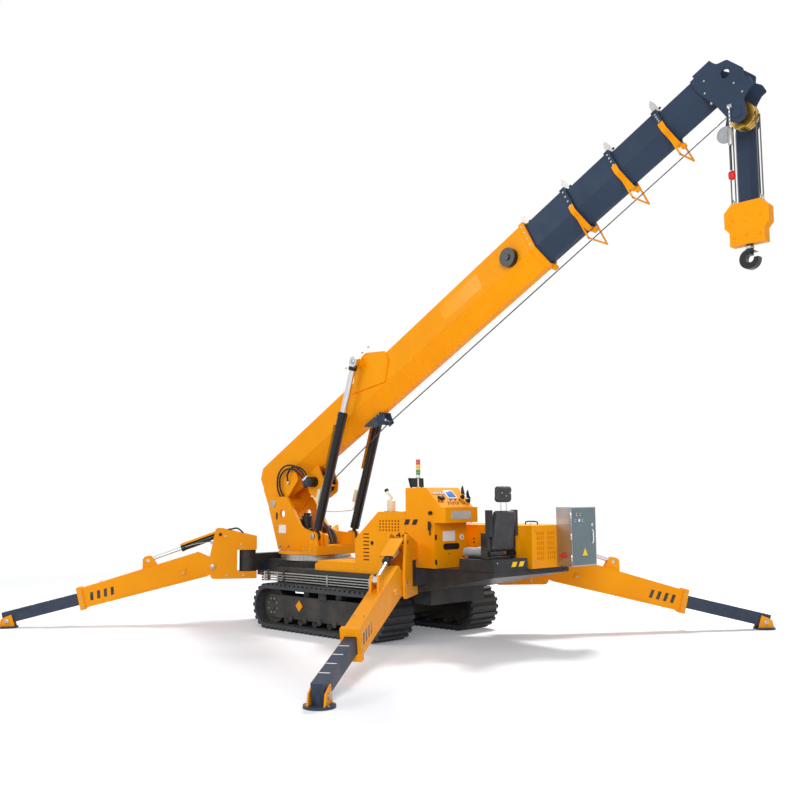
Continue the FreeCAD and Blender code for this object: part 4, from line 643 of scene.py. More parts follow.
def swollen(points, faces, name, cap, frames=20):
    """Padded form: the shape remeshed to 8 mm, blown up as cloth from inside, its movement capped, subdivided."""
    mesh = bpy.data.meshes.new(name)
    mesh.from_pydata(points.tolist(), [], faces)
    piece = bpy.data.objects.new(name, mesh)
    bpy.context.scene.collection.objects.link(piece)
    remesh = piece.modifiers.new("even", "REMESH")
    remesh.mode = "VOXEL"
    remesh.voxel_size = VOXEL
    bake(piece)
    start = read_points(piece.data)
    cloth = piece.modifiers.new("swell", "CLOTH")
    cloth.settings.use_pressure = True
    cloth.settings.uniform_pressure_force = PRESSURE
    cloth.settings.effector_weights.gravity = 0.0
    for step in range(1, frames + 1):
        bpy.context.scene.frame_set(step)
    bake(piece)
    bpy.context.scene.frame_set(1)
    moved = read_points(piece.data) - start
    reach = np.linalg.norm(moved, axis=1, keepdims=True)
    write_points(piece.data, start + moved * np.minimum(1.0, cap / np.maximum(reach, 1e-9)))
    smooth = piece.modifiers.new("fine", "SUBSURF")
    smooth.levels = smooth.render_levels = 1
    bake(piece)
    piece.data.polygons.foreach_set("use_smooth", [True] * len(piece.data.polygons))
    return piece


def bake(piece):
    """Put the outcome of the piece's modifiers into its mesh and take them off."""
    graph = bpy.context.evaluated_depsgraph_get()
    mesh = bpy.data.meshes.new_from_object(piece.evaluated_get(graph))
    piece.modifiers.clear()
    piece.data = mesh


def read_points(mesh):
    """Vertices of a mesh as rows."""
    flat = np.empty(len(mesh.vertices) * 3)
    mesh.vertices.foreach_get("co", flat)
    return flat.reshape(-1, 3)


def write_points(mesh, points):
    """Rows back into the vertices of a mesh."""
    mesh.vertices.foreach_set("co", np.asarray(points, float).ravel())
    mesh.update()


def groove(distance, width, depth):
    """Depth of a sewn channel: a bell curve across its line."""
    return depth * np.exp(-(distance / width) ** 2)


def finish_pad(piece, finish, body, nodes):
    """Material, body and the CAD nodes that a padded piece stands for."""
    piece.data.materials.clear()
    piece.data.materials.append(MATERIALS[finish])
    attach(piece, body)
    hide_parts(*nodes)


class CRANE_OT_seat(bpy.types.Operator):
    """Operator's seat: crowned cushion, backrest with bolsters and headrest, and sewn channels"""

    bl_idname = "crane.seat"
    bl_label = "Seat"

    def execute(self, context):
        (x0, y0, z0), (x1, y1, z1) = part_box("seat_cushion")
        points, faces = block((x1 - x0 - 0.012, y1 - y0 - 0.012, z1 - z0 - 0.02), 0.03, 3)
        points = points + [(x0 + x1) / 2, (y0 + y1) / 2, (z0 + z1) / 2 - 0.004]
        cushion = swollen(points, faces, "seat_cushion_soft", 0.012)
        spot = read_points(cushion.data)
        rise = (spot[:, 2] - z0) / (z1 - z0)
        side = np.abs(spot[:, 1] - (y0 + y1) / 2)
        seams = groove(side - 0.115, 0.007, 0.007) + groove(spot[:, 0] - x0 - 0.13, 0.007, 0.005) * (side < 0.11)
        spot[:, 2] -= seams * np.clip(rise * 2.0 - 0.8, 0.0, 1.0)
        spot[:, 2] -= 0.008 * np.clip(1.0 - (side / 0.11) ** 2, 0.0, 1.0) * np.clip(rise * 2.0 - 0.8, 0.0, 1.0)
        spot = np.clip(spot, [x0 - 0.004, y0 - 0.004, z0], [x1 + 0.004, y1 + 0.004, z1 + 0.004])
        write_points(cushion.data, spot)
        # The cushion takes the grey vinyl that is painted sunlight
        finish_pad(cushion, "pale_vinyl", "carrier", ["seat_cushion"])

        (x0, y0, z0), (x1, y1, z1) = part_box("seat_back")
        middle = (y0 + y1) / 2
        lean = np.array([x0 - x1 + 0.11, 0.0, 0.5])
        back = block((0.088, y1 - y0 - 0.014, 0.488), 0.036, 3)
        rest = block((0.085, 0.256, 0.186), 0.038, 3)
        low = np.array([x1 - 0.056, middle, z0])
        centre = low + lean * 0.5
        first = stand(back[0], centre, lean)
        head_at = low + lean * ((z1 - 0.1 - z0) / 0.5) + np.array([0.052, 0.0, 0.0])
        second = stand(rest[0], head_at, (-0.04, 0.0, 1.0))
        faces = back[1] + [[at + len(first) for at in face] for face in rest[1]]
        pad = swollen(np.vstack([first, second]), faces, "seat_back_soft", 0.010)
        spot = read_points(pad.data)
        lower = spot[:, 2] < z0 + 0.515
        side = np.abs(spot[:, 1] - middle)
        height = spot[:, 2] - z0
        slant = low[0] + lean[0] * height / 0.5
        front = np.where(spot[:, 0] > np.where(lower, slant, head_at[0]), 1.0, -1.0)
        taper = 1.0 - 0.10 * np.clip(height / 0.5 - 0.55, 0.0, 1.0) / 0.45
        seams = groove(side - 0.118, 0.007, 0.008) + groove(height - 0.34, 0.007, 0.006) * (side < 0.115)
        seams += groove(height - 0.17, 0.007, 0.006) * (side < 0.115) * (front > 0)
        buttons = sum(groove(np.hypot(side - 0.06, height - at), 0.012, 0.010) for at in (0.06, 0.40))
        head_buttons = groove(np.hypot(side - 0.07, spot[:, 2] - z1 + 0.09), 0.010, 0.008)
        head_buttons += groove(np.hypot(side, spot[:, 2] - z1 + 0.07), 0.010, 0.008)
        dent = np.where(lower, seams + buttons, head_buttons)
        spot[:, 0] -= front * dent
        spot[:, 1] = middle + (spot[:, 1] - middle) * np.where(lower, taper, 1.0)
        spot = np.clip(spot, [x0 - 0.006, y0 - 0.004, z0 - 0.004], [x1 + 0.006, y1 + 0.004, z1 + 0.004])
        write_points(pad.data, spot)
        finish_pad(pad, "vinyl", "carrier", ["seat_back"])

        hard = Heap("seat_posts", "carrier")
        origin_y = middle - ORIGIN[1]
        for offset in (-0.05, 0.05):
            path = [low + lean * 0.96 + [0.012, offset, 0.0], head_at + [-0.004, offset, -0.03]]
            hard.add(hose(np.linspace(path[0] - ORIGIN, path[1] - ORIGIN, 4), 0.008), "chrome")
        stud = turned([(0.010, -0.006), (0.010, 0.002), (0.006, 0.005), (0.002, 0.0055)], 14)
        for across in (-0.075, 0.075):
            for height in (0.10, 0.40):
                at = low + lean * (height / 0.5) + [-0.047, across, 0.0] - ORIGIN
                hard.add(stud, "grey", at, (-1.0, 0.0, 0.0))
        for across, lift in ((-0.075, 0.015), (0.075, 0.015), (0.0, -0.020)):
            hard.add(stud, "grey", head_at + [-0.0475, across, lift] - ORIGIN, (-1.0, 0.0, 0.0))
        for turn in (-1, 1):
            disc = turned([(0.034, 0.0), (0.040, 0.006), (0.040, 0.012), (0.030, 0.018), (0.012, 0.016)], 24)
            hard.add(disc, "plastic", (-2.600, origin_y + 0.215 * turn, 1.110), (0.0, turn, 0.0))
            hard.add(block((0.30, 0.012, 0.035), 0.005), "plastic", (-2.44, origin_y + 0.215 * turn, 1.062))
        for offset in (-0.16, 0.16):
            hard.add(block((0.36, 0.030, 0.016), 0.004), "steel", (-2.36, origin_y + offset, 1.053))
        lever = spline([(-2.20, origin_y + 0.12, 1.056), (-2.17, origin_y + 0.13, 1.054),
                        (-2.155, origin_y + 0.17, 1.066)])
        hard.add(hose(lever, 0.006), "black")
        hard.lay()
        return {"FINISHED"}


class CRANE_OT_console(bpy.types.Operator):
    """Console: sloping panel with gauges, display, levers and slots, plates, dial, recess and visor"""

    bl_idname = "crane.console"
    bl_label = "Console"

    def execute(self, context):
        piece = Heap("console_controls", "carrier")
        slope = np.array([-0.7011, 0.0, 0.7130])

        def on_panel(y, fall, lift=0.0):
            """Place on the sloping panel, so far down from its upper edge."""
            return np.array([-1.72 - 0.7130 * fall, y, 1.868 - 0.7011 * fall]) + slope * lift

        for y in (0.660, 0.610, 0.560, 0.510):
            ring = turned([(0.021, -0.004), (0.021, 0.006), (0.017, 0.009), (0.015, 0.005)], 24)
            piece.add(ring, "chrome", on_panel(y, 0.10), slope)
            piece.add(turned([(0.015, 0.0), (0.015, 0.0055)], 24), "gauge", on_panel(y, 0.10), slope)
            piece.add(block((0.002, 0.013, 0.002), 0.0008), "red", on_panel(y, 0.103, 0.007), slope, (0.6, 0.8, 0))
        piece.add(block((0.135, 0.165, 0.014), 0.005), "white", on_panel(0.400, 0.125, 0.004), slope, (1, 0, 1))
        piece.add(block((0.105, 0.130, 0.004), 0.0015), "blue", on_panel(0.400, 0.125, 0.0115), slope, (1, 0, 1))
        piece.add(block((0.055, 0.085, 0.040), 0.006), "plastic", on_panel(0.605, 0.185, 0.010), slope, (1, 0, 1))
        for y in (0.625, 0.680):
            piece.add(knob(0.011, 0.014), "red", on_panel(y, 0.235), slope)
        for index, y in enumerate((0.530, 0.490, 0.450, 0.410, 0.370, 0.290, 0.255)):
            piece.add(block((0.058, 0.014, 0.006), 0.002), "plastic", on_panel(y, 0.262, 0.0), slope, (1, 0, 1))
            if index % 2 == 0:
                stem = on_panel(y, 0.262)
                piece.add(hose(np.linspace(stem, stem + slope * 0.045, 3), 0.0035, 8), "chrome")
                piece.add(turned([(0.004, 0.0), (0.009, 0.006), (0.010, 0.014), (0.006, 0.020)], 14), "plastic",
                          stem + slope * 0.040, slope)
        # Two drive levers in rubber gaiters at the right end, with wedge grips
        for y, lean, fall in ((0.215, -0.18, 0.17), (0.165, 0.16, 0.24)):
            foot = on_panel(y, fall)
            gaiter = turned([(0.030, -0.004), (0.030, 0.006), (0.022, 0.012), (0.026, 0.017), (0.018, 0.024),
                             (0.021, 0.029), (0.011, 0.036)], 20)
            piece.add(gaiter, "plastic", foot, slope)
            top = foot + np.array([-0.010 + lean * 0.03, 0.0, 0.085])
            piece.add(hose(spline([foot + slope * 0.03, foot + slope * 0.055, top]), 0.0055, 10), "black")
            grip = sheet([(-0.022, -0.050), (0.020, -0.044), (0.024, 0.020), (0.006, 0.055)], 0.022, 0.006)
            piece.add(grip, "plastic", top + np.array([0.0, 0.011, 0.0]), (0.0, -1.0, 0.0))
        # Plates on the front box and the body below it
        plate = oblong(0.17, 0.048, 0.003)
        piece.add(plate, "plate", (-2.030, 0.440, 1.541), (-1, 0, 0), (0, 1, 0))
        piece.bolts(0.005, product((-2.033,), (0.282, 0.598), (1.502, 1.580)), (-1, 0, 0))
        panel = oblong(0.105, 0.060, 0.004)
        piece.add(panel, "white", (-1.850, 0.470, 1.290), (-1, 0, 0), (0, 1, 0))
        dial = turned([(0.034, 0.0), (0.034, 0.010), (0.028, 0.014), (0.024, 0.010)], 28)
        piece.add(dial, "white", (-1.850, 0.245, 1.270), (-1, 0, 0))
        piece.add(block((0.040, 0.008, 0.010), 0.003), "plastic", (-1.862, 0.245, 1.270), (-1, 0, 0), (0, 0.6, 0.8))
        angle = np.linspace(0, 2 * math.pi, 32, endpoint=False)
        stadium = np.stack([0.032 * np.cos(angle) + 0.105 * np.sign(np.cos(angle)), 0.032 * np.sin(angle)], axis=1)
        rim = np.vstack([stadium, stadium[:1]])
        path = np.column_stack([np.full(len(rim), -1.851), 0.430 + rim[:, 0], 1.165 + rim[:, 1]])
        piece.add(hose(path, 0.006, 8), "plastic")
        piece.add(sheet(stadium, 0.003), "plastic", (-1.850, 0.430, 1.165), (-1, 0, 0), (0, 1, 0))
        piece.add(turned([(0.010, 0.0), (0.010, 0.003), (0.006, 0.002)], 18), "plastic", (-1.850, 0.470, 1.080),
                  (-1, 0, 0))
        # Left face: knob, half-round latch, two raked slots
        piece.add(turned([(0.020, 0.0), (0.020, 0.012), (0.024, 0.018), (0.022, 0.034), (0.012, 0.038)], 24),
                  "plastic", (-1.800, 0.720, 1.566), (0, 1, 0))
        half = np.linspace(-math.pi / 2, math.pi / 2, 16)
        latch = np.stack([-0.050 * np.cos(half), 0.055 * np.sin(half)], axis=1)
        piece.add(sheet(latch, 0.012, 0.004), "plastic", (-1.762, 0.732, 1.415), (0, 1, 0), (1, 0, 0))
        piece.add(block((0.014, 0.020, 0.075), 0.005), "plastic", (-1.782, 0.726, 1.34))
        for x in (-1.395, -1.530):
            slot = sheet([(-0.052, -0.032), (0.020, -0.032), (0.052, 0.032), (-0.020, 0.032)], 0.004)
            piece.add(slot, "plastic", (x, 0.7235, 1.456), (0, 1, 0), (-1, 0, 0))
        # Visor: a dark plate that leans over the panel on two stays
        visor = sheet([(-0.135, -0.060), (0.135, -0.060), (0.120, 0.055), (-0.120, 0.055)], 0.008, 0.003)
        piece.add(visor, "black", (-1.395, 0.560, 1.930), (-1.0, 0.0, 0.18), (0, 1, 0))
        for y in (0.470, 0.650):
            piece.add(block((0.014, 0.018, 0.040), 0.004), "black", (-1.400, y, 1.876))
        for z in (0.99, 1.28):
            piece.add(block((0.012, 0.030, 0.060), 0.004), "black", (-1.853, 0.700, z))
        piece.bolts(0.007, product((-1.850,), (0.180, 0.690), (0.965, 1.430)), (-1, 0, 0))
        piece.lay()
        # Lamp stack: clear ribs between the lenses and a cap
        stack = Heap("lamp_rings", "carrier")
        for z in (1.990, 2.055, 2.120, 2.180):
            stack.add(turned([(0.0262, -0.004), (0.0285, 0.0), (0.0262, 0.004)], 28), "grey", (-1.470, 0.600, z))
        stack.add(turned([(0.026, 0.0), (0.030, 0.004), (0.016, 0.014), (0.011, 0.016)], 28), "grey",
                  (-1.470, 0.600, 1.868))
        stack.lay()
        return {"FINISHED"}


class CRANE_OT_cabinet(bpy.types.Operator):
    """Switch cabinet: grey-blue door skin, buttons, handle, hinges, blank triangle and the plug below"""

    bl_idname = "crane.cabinet"
    bl_label = "Cabinet"

    def execute(self, context):
        (x0, y0, z0), (_, y1, z1) = (corner - ORIGIN for corner in np.array(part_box("cabinet_door")))
        middle, tall = (y0 + y1) / 2, z1 - z0
        piece = Heap("cabinet_fittings", "door")
        skin = sheet([(-0.238, -tall / 2 + 0.012), (0.238, -tall / 2 + 0.012), (0.238, tall / 2 - 0.012),
                      (-0.238, tall / 2 - 0.012)], 0.003, 0.002)
        face = x0 + 0.0005
        piece.add(skin, "door", (face, middle, (z0 + z1) / 2), (-1, 0, 0), (0, 1, 0))
        front = face - 0.003
        for y, z, finish in ((-0.555, 1.535, "red"), (-0.625, 1.535, "green"), (-0.520, 1.465, "blue"),
                             (-0.595, 1.465, "white"), (-0.670, 1.465, "green")):
            piece.add(turned([(0.019, 0.0), (0.019, 0.005), (0.015, 0.007)], 20), "chrome", (front, y, z), (-1, 0, 0))
            piece.add(knob(0.014, 0.010), finish, (front - 0.004, y, z), (-1, 0, 0))
        path = spline([(front, -0.862, 1.350), (front - 0.014, -0.862, 1.340), (front - 0.018, -0.862, 1.290),
                       (front - 0.018, -0.862, 1.240), (front - 0.014, -0.862, 1.200), (front, -0.862, 1.190)])
        piece.add(hose(path, 0.008), "white")
        lock = turned([(0.020, 0.0), (0.020, 0.006), (0.014, 0.010)], 20)
        piece.add(lock, "chrome", (front, -0.862, 1.41), (-1, 0, 0))
        piece.add(sheet([(-0.052, 0.040), (0.052, 0.040), (0.0, -0.052)], 0.002), "stripe", (front, -0.707, 1.085),
                  (-1, 0, 0), (0, 1, 0))
        for z in (z0 + 0.10, (z0 + z1) / 2, z1 - 0.10):
            barrel = turned([(0.008, -0.035), (0.009, -0.033), (0.009, 0.033), (0.008, 0.035)], 14)
            piece.add(barrel, "chrome", (x0 + 0.010, y1 - 0.002, z))
        piece.lay()

        fixed = Heap("cabinet_plug", "carrier")
        collar = turned([(0.030, 0.0), (0.030, 0.020), (0.024, 0.026), (0.024, 0.050), (0.020, 0.056)], 24)
        fixed.add(collar, "red", (-2.860, -0.449, 1.060), (0, 1, -0.3))
        for z in (0.960, 1.585):
            for x in (-2.930, -2.785):
                fixed.add(bolt(0.006), "steel", (x, -0.449, z), (0, 1, 0))
        fixed.add(oblong(0.07, 0.03, 0.002), "plate",
                  (-2.860, -0.449, 1.45), (0, 1, 0), (1, 0, 0))
        # Seat box: two slanted yellow dashes, fixings
        for y in (0.360, 0.230):
            dash = sheet([(-0.055, -0.028), (0.025, -0.028), (0.055, 0.028), (-0.025, 0.028)], 0.002)
            fixed.add(dash, "stripe", (-2.7555, y, 0.985), (-1, 0, 0), (0, -1, 0))
        fixed.bolts(0.008, product((-2.7555,), (0.180, 0.660), (1.010,)), (-1, 0, 0))
        fixed.lay()
        # Lead from the cabinet's floor along the tail into the seat box
        points = [(-2.84, -0.50, 0.930), (-2.84, -0.50, 0.900), (-2.83, -0.45, 0.880), (-2.80, -0.30, 0.872),
                  (-2.775, -0.10, 0.880), (-2.765, 0.05, 0.900), (-2.757, 0.15, 0.930), (-2.735, 0.20, 0.945)]
        lead = Heap("cabinet_lead", "carrier")
        lead.add(hose(spline(points), 0.008), "plastic")
        lead.lay()
        return {"FINISHED"}


class CRANE_OT_hoods(bpy.types.Operator):
    """Hood fittings: painted-shade plates in the vents and behind the rear grille, breather canister, bolts, handles,
    ribs and exhaust stub
    """

    bl_idname = "crane.hoods"
    bl_label = "Hoods"

    def execute(self, context):
        piece = Heap("hood_fittings", "carrier")
        piece.add(turned([(0.026, 0.0), (0.026, 0.004), (0.020, 0.010), (0.012, 0.012)], 24), "plastic",
                  (-0.760, 0.720, 1.186), (0, 1, 0))
        # Painted shade in the vents: a thin dark plate at the bottom of each recess stands for the shade inside the
        # hood
        for row in range(4):
            for column in range(7):
                hole = block((0.024, 0.003, 0.020), 0.001, 1)
                piece.add(hole, "vent", (-1.237 + 0.055 * column, 0.7095, 1.351 + 0.038 * row))
        for row in range(8):
            piece.add(block((0.110, 0.003, 0.014), 0.001, 1), "vent", (-0.6475, 0.7095, 0.973 + 0.046 * row))
        # Painted shade behind the rear grille: a dark plate that stands for the shade inside the hood
        piece.add(block((0.004, 0.60, 0.40), 0.0015, 1), "plastic", (-2.736, -0.345, 1.165))
        # Breather canister: base plate, body with a seam, elbow and cap
        piece.add(block((0.13, 0.12, 0.010), 0.003), "steel", (-0.990, 0.600, 1.580))
        piece.add(turned([(0.050, 0.0), (0.052, 0.004), (0.052, 0.070), (0.055, 0.074), (0.055, 0.084), (0.052, 0.088),
                          (0.052, 0.130), (0.040, 0.140), (0.016, 0.144)], 28), "cream", (-0.990, 0.600, 1.582))
        piece.add(hose(spline([(-0.990, 0.600, 1.715), (-0.990, 0.600, 1.760), (-0.970, 0.605, 1.785),
                               (-0.940, 0.610, 1.815), (-0.920, 0.612, 1.840)]), 0.017), "cream")
        piece.add(turned([(0.020, 0.0), (0.027, 0.004), (0.027, 0.026), (0.018, 0.032)], 20), "plastic",
                  (-0.925, 0.611, 1.832), (0.5, 0.05, 0.8))
        # Bolts round the hoods and handles on top
        piece.bolts(0.009, product((-1.30, -1.08, -0.95), (0.280, 0.675), (1.577,)))
        piece.bolts(0.008, product((-1.320,), (0.720,), (0.850, 1.10, 1.50)), (0, 1, 0))
        piece.bolts(0.008, product((-0.480,), (0.720,), (0.850, 1.020)), (0, 1, 0))
        piece.bolts(0.010, product((-2.66, -2.2, -1.7, -1.2, -0.72), (-0.060, -0.670), (1.412,)))
        for x in (-2.45, -1.05):
            path = spline([(x - 0.09, -0.360, 1.410), (x - 0.085, -0.360, 1.445), (x, -0.360, 1.452),
                           (x + 0.085, -0.360, 1.445), (x + 0.09, -0.360, 1.410)])
            piece.add(hose(path, 0.008), "plastic")
        for z in (1.200, 1.245):
            plug = turned([(0.012, 0.0), (0.012, 0.003), (0.007, 0.002)], 18)
            piece.add(plug, "plastic", (-1.862, 0.030, z), (0, 1, 0))
        piece.bolts(0.008, product((-2.756,), (-0.05 + 0.01, -0.64 + 0.01), (1.00, 1.35)), (-1, 0, 0))
        # Pressed ribs across the low cover
        for x in (-0.28, -0.16, -0.04, 0.08, 0.20):
            piece.add(block((0.030, 0.30, 0.014), 0.006, 3), "yellow", (x, 0.48, 0.930))
        # Exhaust stub on the hood's right
        piece.add(turned([(0.042, 0.0), (0.042, 0.10), (0.046, 0.105), (0.046, 0.125), (0.038, 0.125), (0.036, 0.06)],
                         28), "iron", (-1.00, -0.55, 1.412))
        piece.lay()
        return {"FINISHED"}


class CRANE_OT_turntable(bpy.types.Operator):
    """Turntable fittings: ring bolts, pin caps, slew motor, swivel joint, blank plates and hoses"""

    bl_idname = "crane.turntable"
    bl_label = "Turntable"

    def execute(self, context):
        piece = Heap("turntable_fittings", "slewing_top")
        for angle in np.radians(np.arange(36) * 10.0):
            c, s = math.cos(angle), math.sin(angle)
            if not (c < -0.6 or abs(s) < 0.55):
                piece.add(bolt(0.012), "steel", (SLEW_X + 0.50 * c, 0.50 * s, 1.012))
        for side in (-1, 1):
            cap = turned([(0.060, 0.0), (0.060, 0.008), (0.045, 0.014), (0.018, 0.014), (0.014, 0.010)], 28)
            piece.add(cap, "steel", (FOOT[0], 0.266 * side, FOOT[2]), (0, side, 0))
            rim = np.linspace(0, 2 * math.pi, 33)
            ring = np.column_stack([1.833 + 0.032 * np.cos(rim), np.full(33, 0.266 * side),
                                    1.500 + 0.062 * np.sin(rim)])
            piece.add(hose(ring, 0.005, 8), "yellow")
            angle = np.linspace(0, 2 * math.pi, 32, endpoint=False)
            hole = np.stack([0.030 * np.cos(angle), 0.060 * np.sin(angle)], axis=1)
            piece.add(sheet(hole, 0.002), "black", (1.833, 0.2665 * side, 1.500), (0, side, 0), (1, 0, 0))
            plate = oblong(0.085, 0.060, 0.002)
            piece.add(plate, "white", (1.700, 0.266 * side, 1.310), (0, side, 0), (1, 0, 0))
            piece.bolts(0.014, product((1.55, 1.75), (0.266 * side,), (1.06,)), (0, side, 0))
            for z in (1.035, 1.070):
                for x in (0.72, 0.80, 0.90, 0.97):
                    piece.add(bolt(0.008), "steel", (x, 0.43 * side, z), (0, side, 0))
        # Slew motor: flanges with bolts, ports and fittings
        motor = np.array([1.330, 0.095, 0.0])
        for z, radius in ((1.030, 0.092), (1.300, 0.084), (1.480, 0.080)):
            piece.add(turned([(radius - 0.004, 0.0), (radius, 0.003), (radius, 0.020), (radius - 0.004, 0.023)], 28),
                      "black", motor + [0, 0, z])
            for angle in np.radians(np.arange(8) * 45.0):
                at = motor + [(radius - 0.012) * math.cos(angle), (radius - 0.012) * math.sin(angle), z + 0.022]
                piece.add(bolt(0.006), "steel", at)
        piece.add(block((0.10, 0.11, 0.11), 0.010), "black", motor + [0.075, 0.02, 1.400])
        for y in (-0.02, 0.05):
            piece.add(fitting((0.012, 0.017, 0.010), (0.018, 0.020, 0.034, 0.036)),
                      "brass", motor + [0.125, y, 1.400], (1, 0, 0))
        # Loops of pipe from the motor to the turntable's swivel
        for y, out in ((-0.02, 0.10), (0.05, 0.15)):
            path = [motor + [0.150, y, 1.400], motor + [0.19, y, 1.40], motor + [0.22, y - 0.02, 1.34],
                    motor + [0.20, y - 0.05, 1.22], motor + [out, y - 0.09, 1.10], motor + [out, y - 0.10, 1.02]]
            piece.add(hose(spline(path), 0.011), "hose")
        # Swivel joint between the cheeks
        piece.add(turned([(0.075, 0.0), (0.075, 0.11), (0.082, 0.115), (0.082, 0.135), (0.060, 0.14), (0.060, 0.20),
                          (0.030, 0.205)], 28), "steel", (1.130, -0.110, 1.012))
        for index, angle in enumerate(np.radians(np.arange(6) * 60.0)):
            z = 1.05 + 0.03 * (index % 3)
            c, s = math.cos(angle), math.sin(angle)
            piece.add(fitting((0.010, 0.014, 0.009), (0.014, 0.015, 0.028, 0.030)),
                      "chrome", (1.130 + 0.074 * c, -0.110 + 0.074 * s, z), (c, s, 0))
        # Bundles of hoses from the swivel up to the lift cylinders' feet
        for index in range(5):
            y = -0.06 + 0.03 * index
            path = [(1.12 - 0.02 * index, -0.06 + 0.01 * index, 1.20), (1.06, y, 1.30 + 0.02 * index),
                    (0.94, y + 0.02, 1.32 + 0.02 * index), (0.84, y + 0.03, 1.24), (0.79, y + 0.03, 1.12)]
            piece.add(hose(spline(path), 0.010), "hose" if index % 3 else "iron")
        piece.lay()
        return {"FINISHED"}


class CRANE_OT_lift(bpy.types.Operator):
    """Lift cylinders: glands, eye caps, the pale valve blocks with their cross pipe, and the guard strips"""

    bl_idname = "crane.lift"
    bl_label = "Lift cylinders"

    def execute(self, context):
        foot = np.array([0.813, 0.0, 1.228])
        c, s = math.cos(BOOM_TILT), math.sin(BOOM_TILT)
        eye = np.array([FOOT[0] - 2.616 * c + 0.800 * s, 0.0, FOOT[2] + 2.616 * s + 0.800 * c])
        along = (eye - foot) / np.linalg.norm(eye - foot)
        square = np.cross(along, (0.0, 1.0, 0.0))
        piece = Heap("lift_fittings", "barrels")
        rods = Heap("lift_rod_fittings", "rods")
        for side in (-0.345, 0.345):
            out = 1.0 if side > 0 else -1.0
            base = foot + [0.0, side, 0.0]
            gland = turned([(0.066, 0.0), (0.0705, 0.004), (0.0705, 0.050), (0.064, 0.058), (0.050, 0.061),
                            (0.0445, 0.061)], 32)
            piece.add(gland, "black", base + along * 1.736, along)
            for at in (0.16, 1.60):
                ring = turned([(0.0662, -0.010), (0.0700, -0.007), (0.0700, 0.007), (0.0662, 0.010)], 32)
                piece.add(ring, "black", base + along * at, along)
            cap = turned([(0.040, 0.0), (0.040, 0.006), (0.030, 0.010)], 24)
            piece.add(cap, "steel", base + [0, 0.066 * out, 0], (0, out, 0))
            # Orange guard strip along the barrel's upper side
            strip = sheet([(-0.055, 0.0), (0.055, 0.0), (0.055, 0.62), (-0.055, 0.62)], 0.006, 0.003)
            top = base + along * 0.98 - square * 0.078
            piece.add(strip, "yellow", top, -square, (0, 1, 0))
            # Valve block, ports and the small pipe up the barrel
            spot = base + along * 0.560 - square * 0.098
            piece.add(block((0.060, 0.090, 0.190), 0.006), "cream", spot, along, square)
            for lift in (-0.06, 0.0, 0.06):
                port = fitting((0.013, 0.017, 0.010), (0.012, 0.013, 0.026, 0.028))
                piece.add(port, "brass", spot + along * lift - square * 0.030, -square)
            path = [spot + along * 0.09, spot + along * 0.14, spot + along * 0.30 + square * 0.012,
                    spot + along * 0.90 + square * 0.014, spot + along * 1.02 + square * 0.022,
                    spot + along * 1.06 + square * 0.040]
            piece.add(hose(spline(path), 0.0075), "cream")
            low = [spot - along * 0.09, spot - along * 0.13 - square * 0.005, spot - along * 0.18 - square * 0.008,
                   spot - along * 0.22 + [0, -0.05 * out, 0], foot + along * 0.32 - square * 0.11]
            piece.add(hose(spline(low), 0.0075), "cream")
            wiper = turned([(0.046, 0.0), (0.048, 0.003), (0.048, 0.010), (0.0435, 0.014)], 28)
            piece.add(wiper, "rubber_seal", base + along * 1.792, along)
            top_eye = foot + along * np.linalg.norm(eye - foot) + [0, side, 0]
            rods.add(turned([(0.036, 0.0), (0.036, 0.006), (0.028, 0.009)], 24), "steel",
                     top_eye + [0, 0.028 * out, 0], (0, out, 0))
            rods.add(turned([(0.044, 0.0), (0.056, 0.006), (0.060, 0.030), (0.060, 0.050), (0.050, 0.056)], 28),
                     "black", top_eye - along * 0.125, along)
        piece.lay()
        rods.lay()
        return {"FINISHED"}


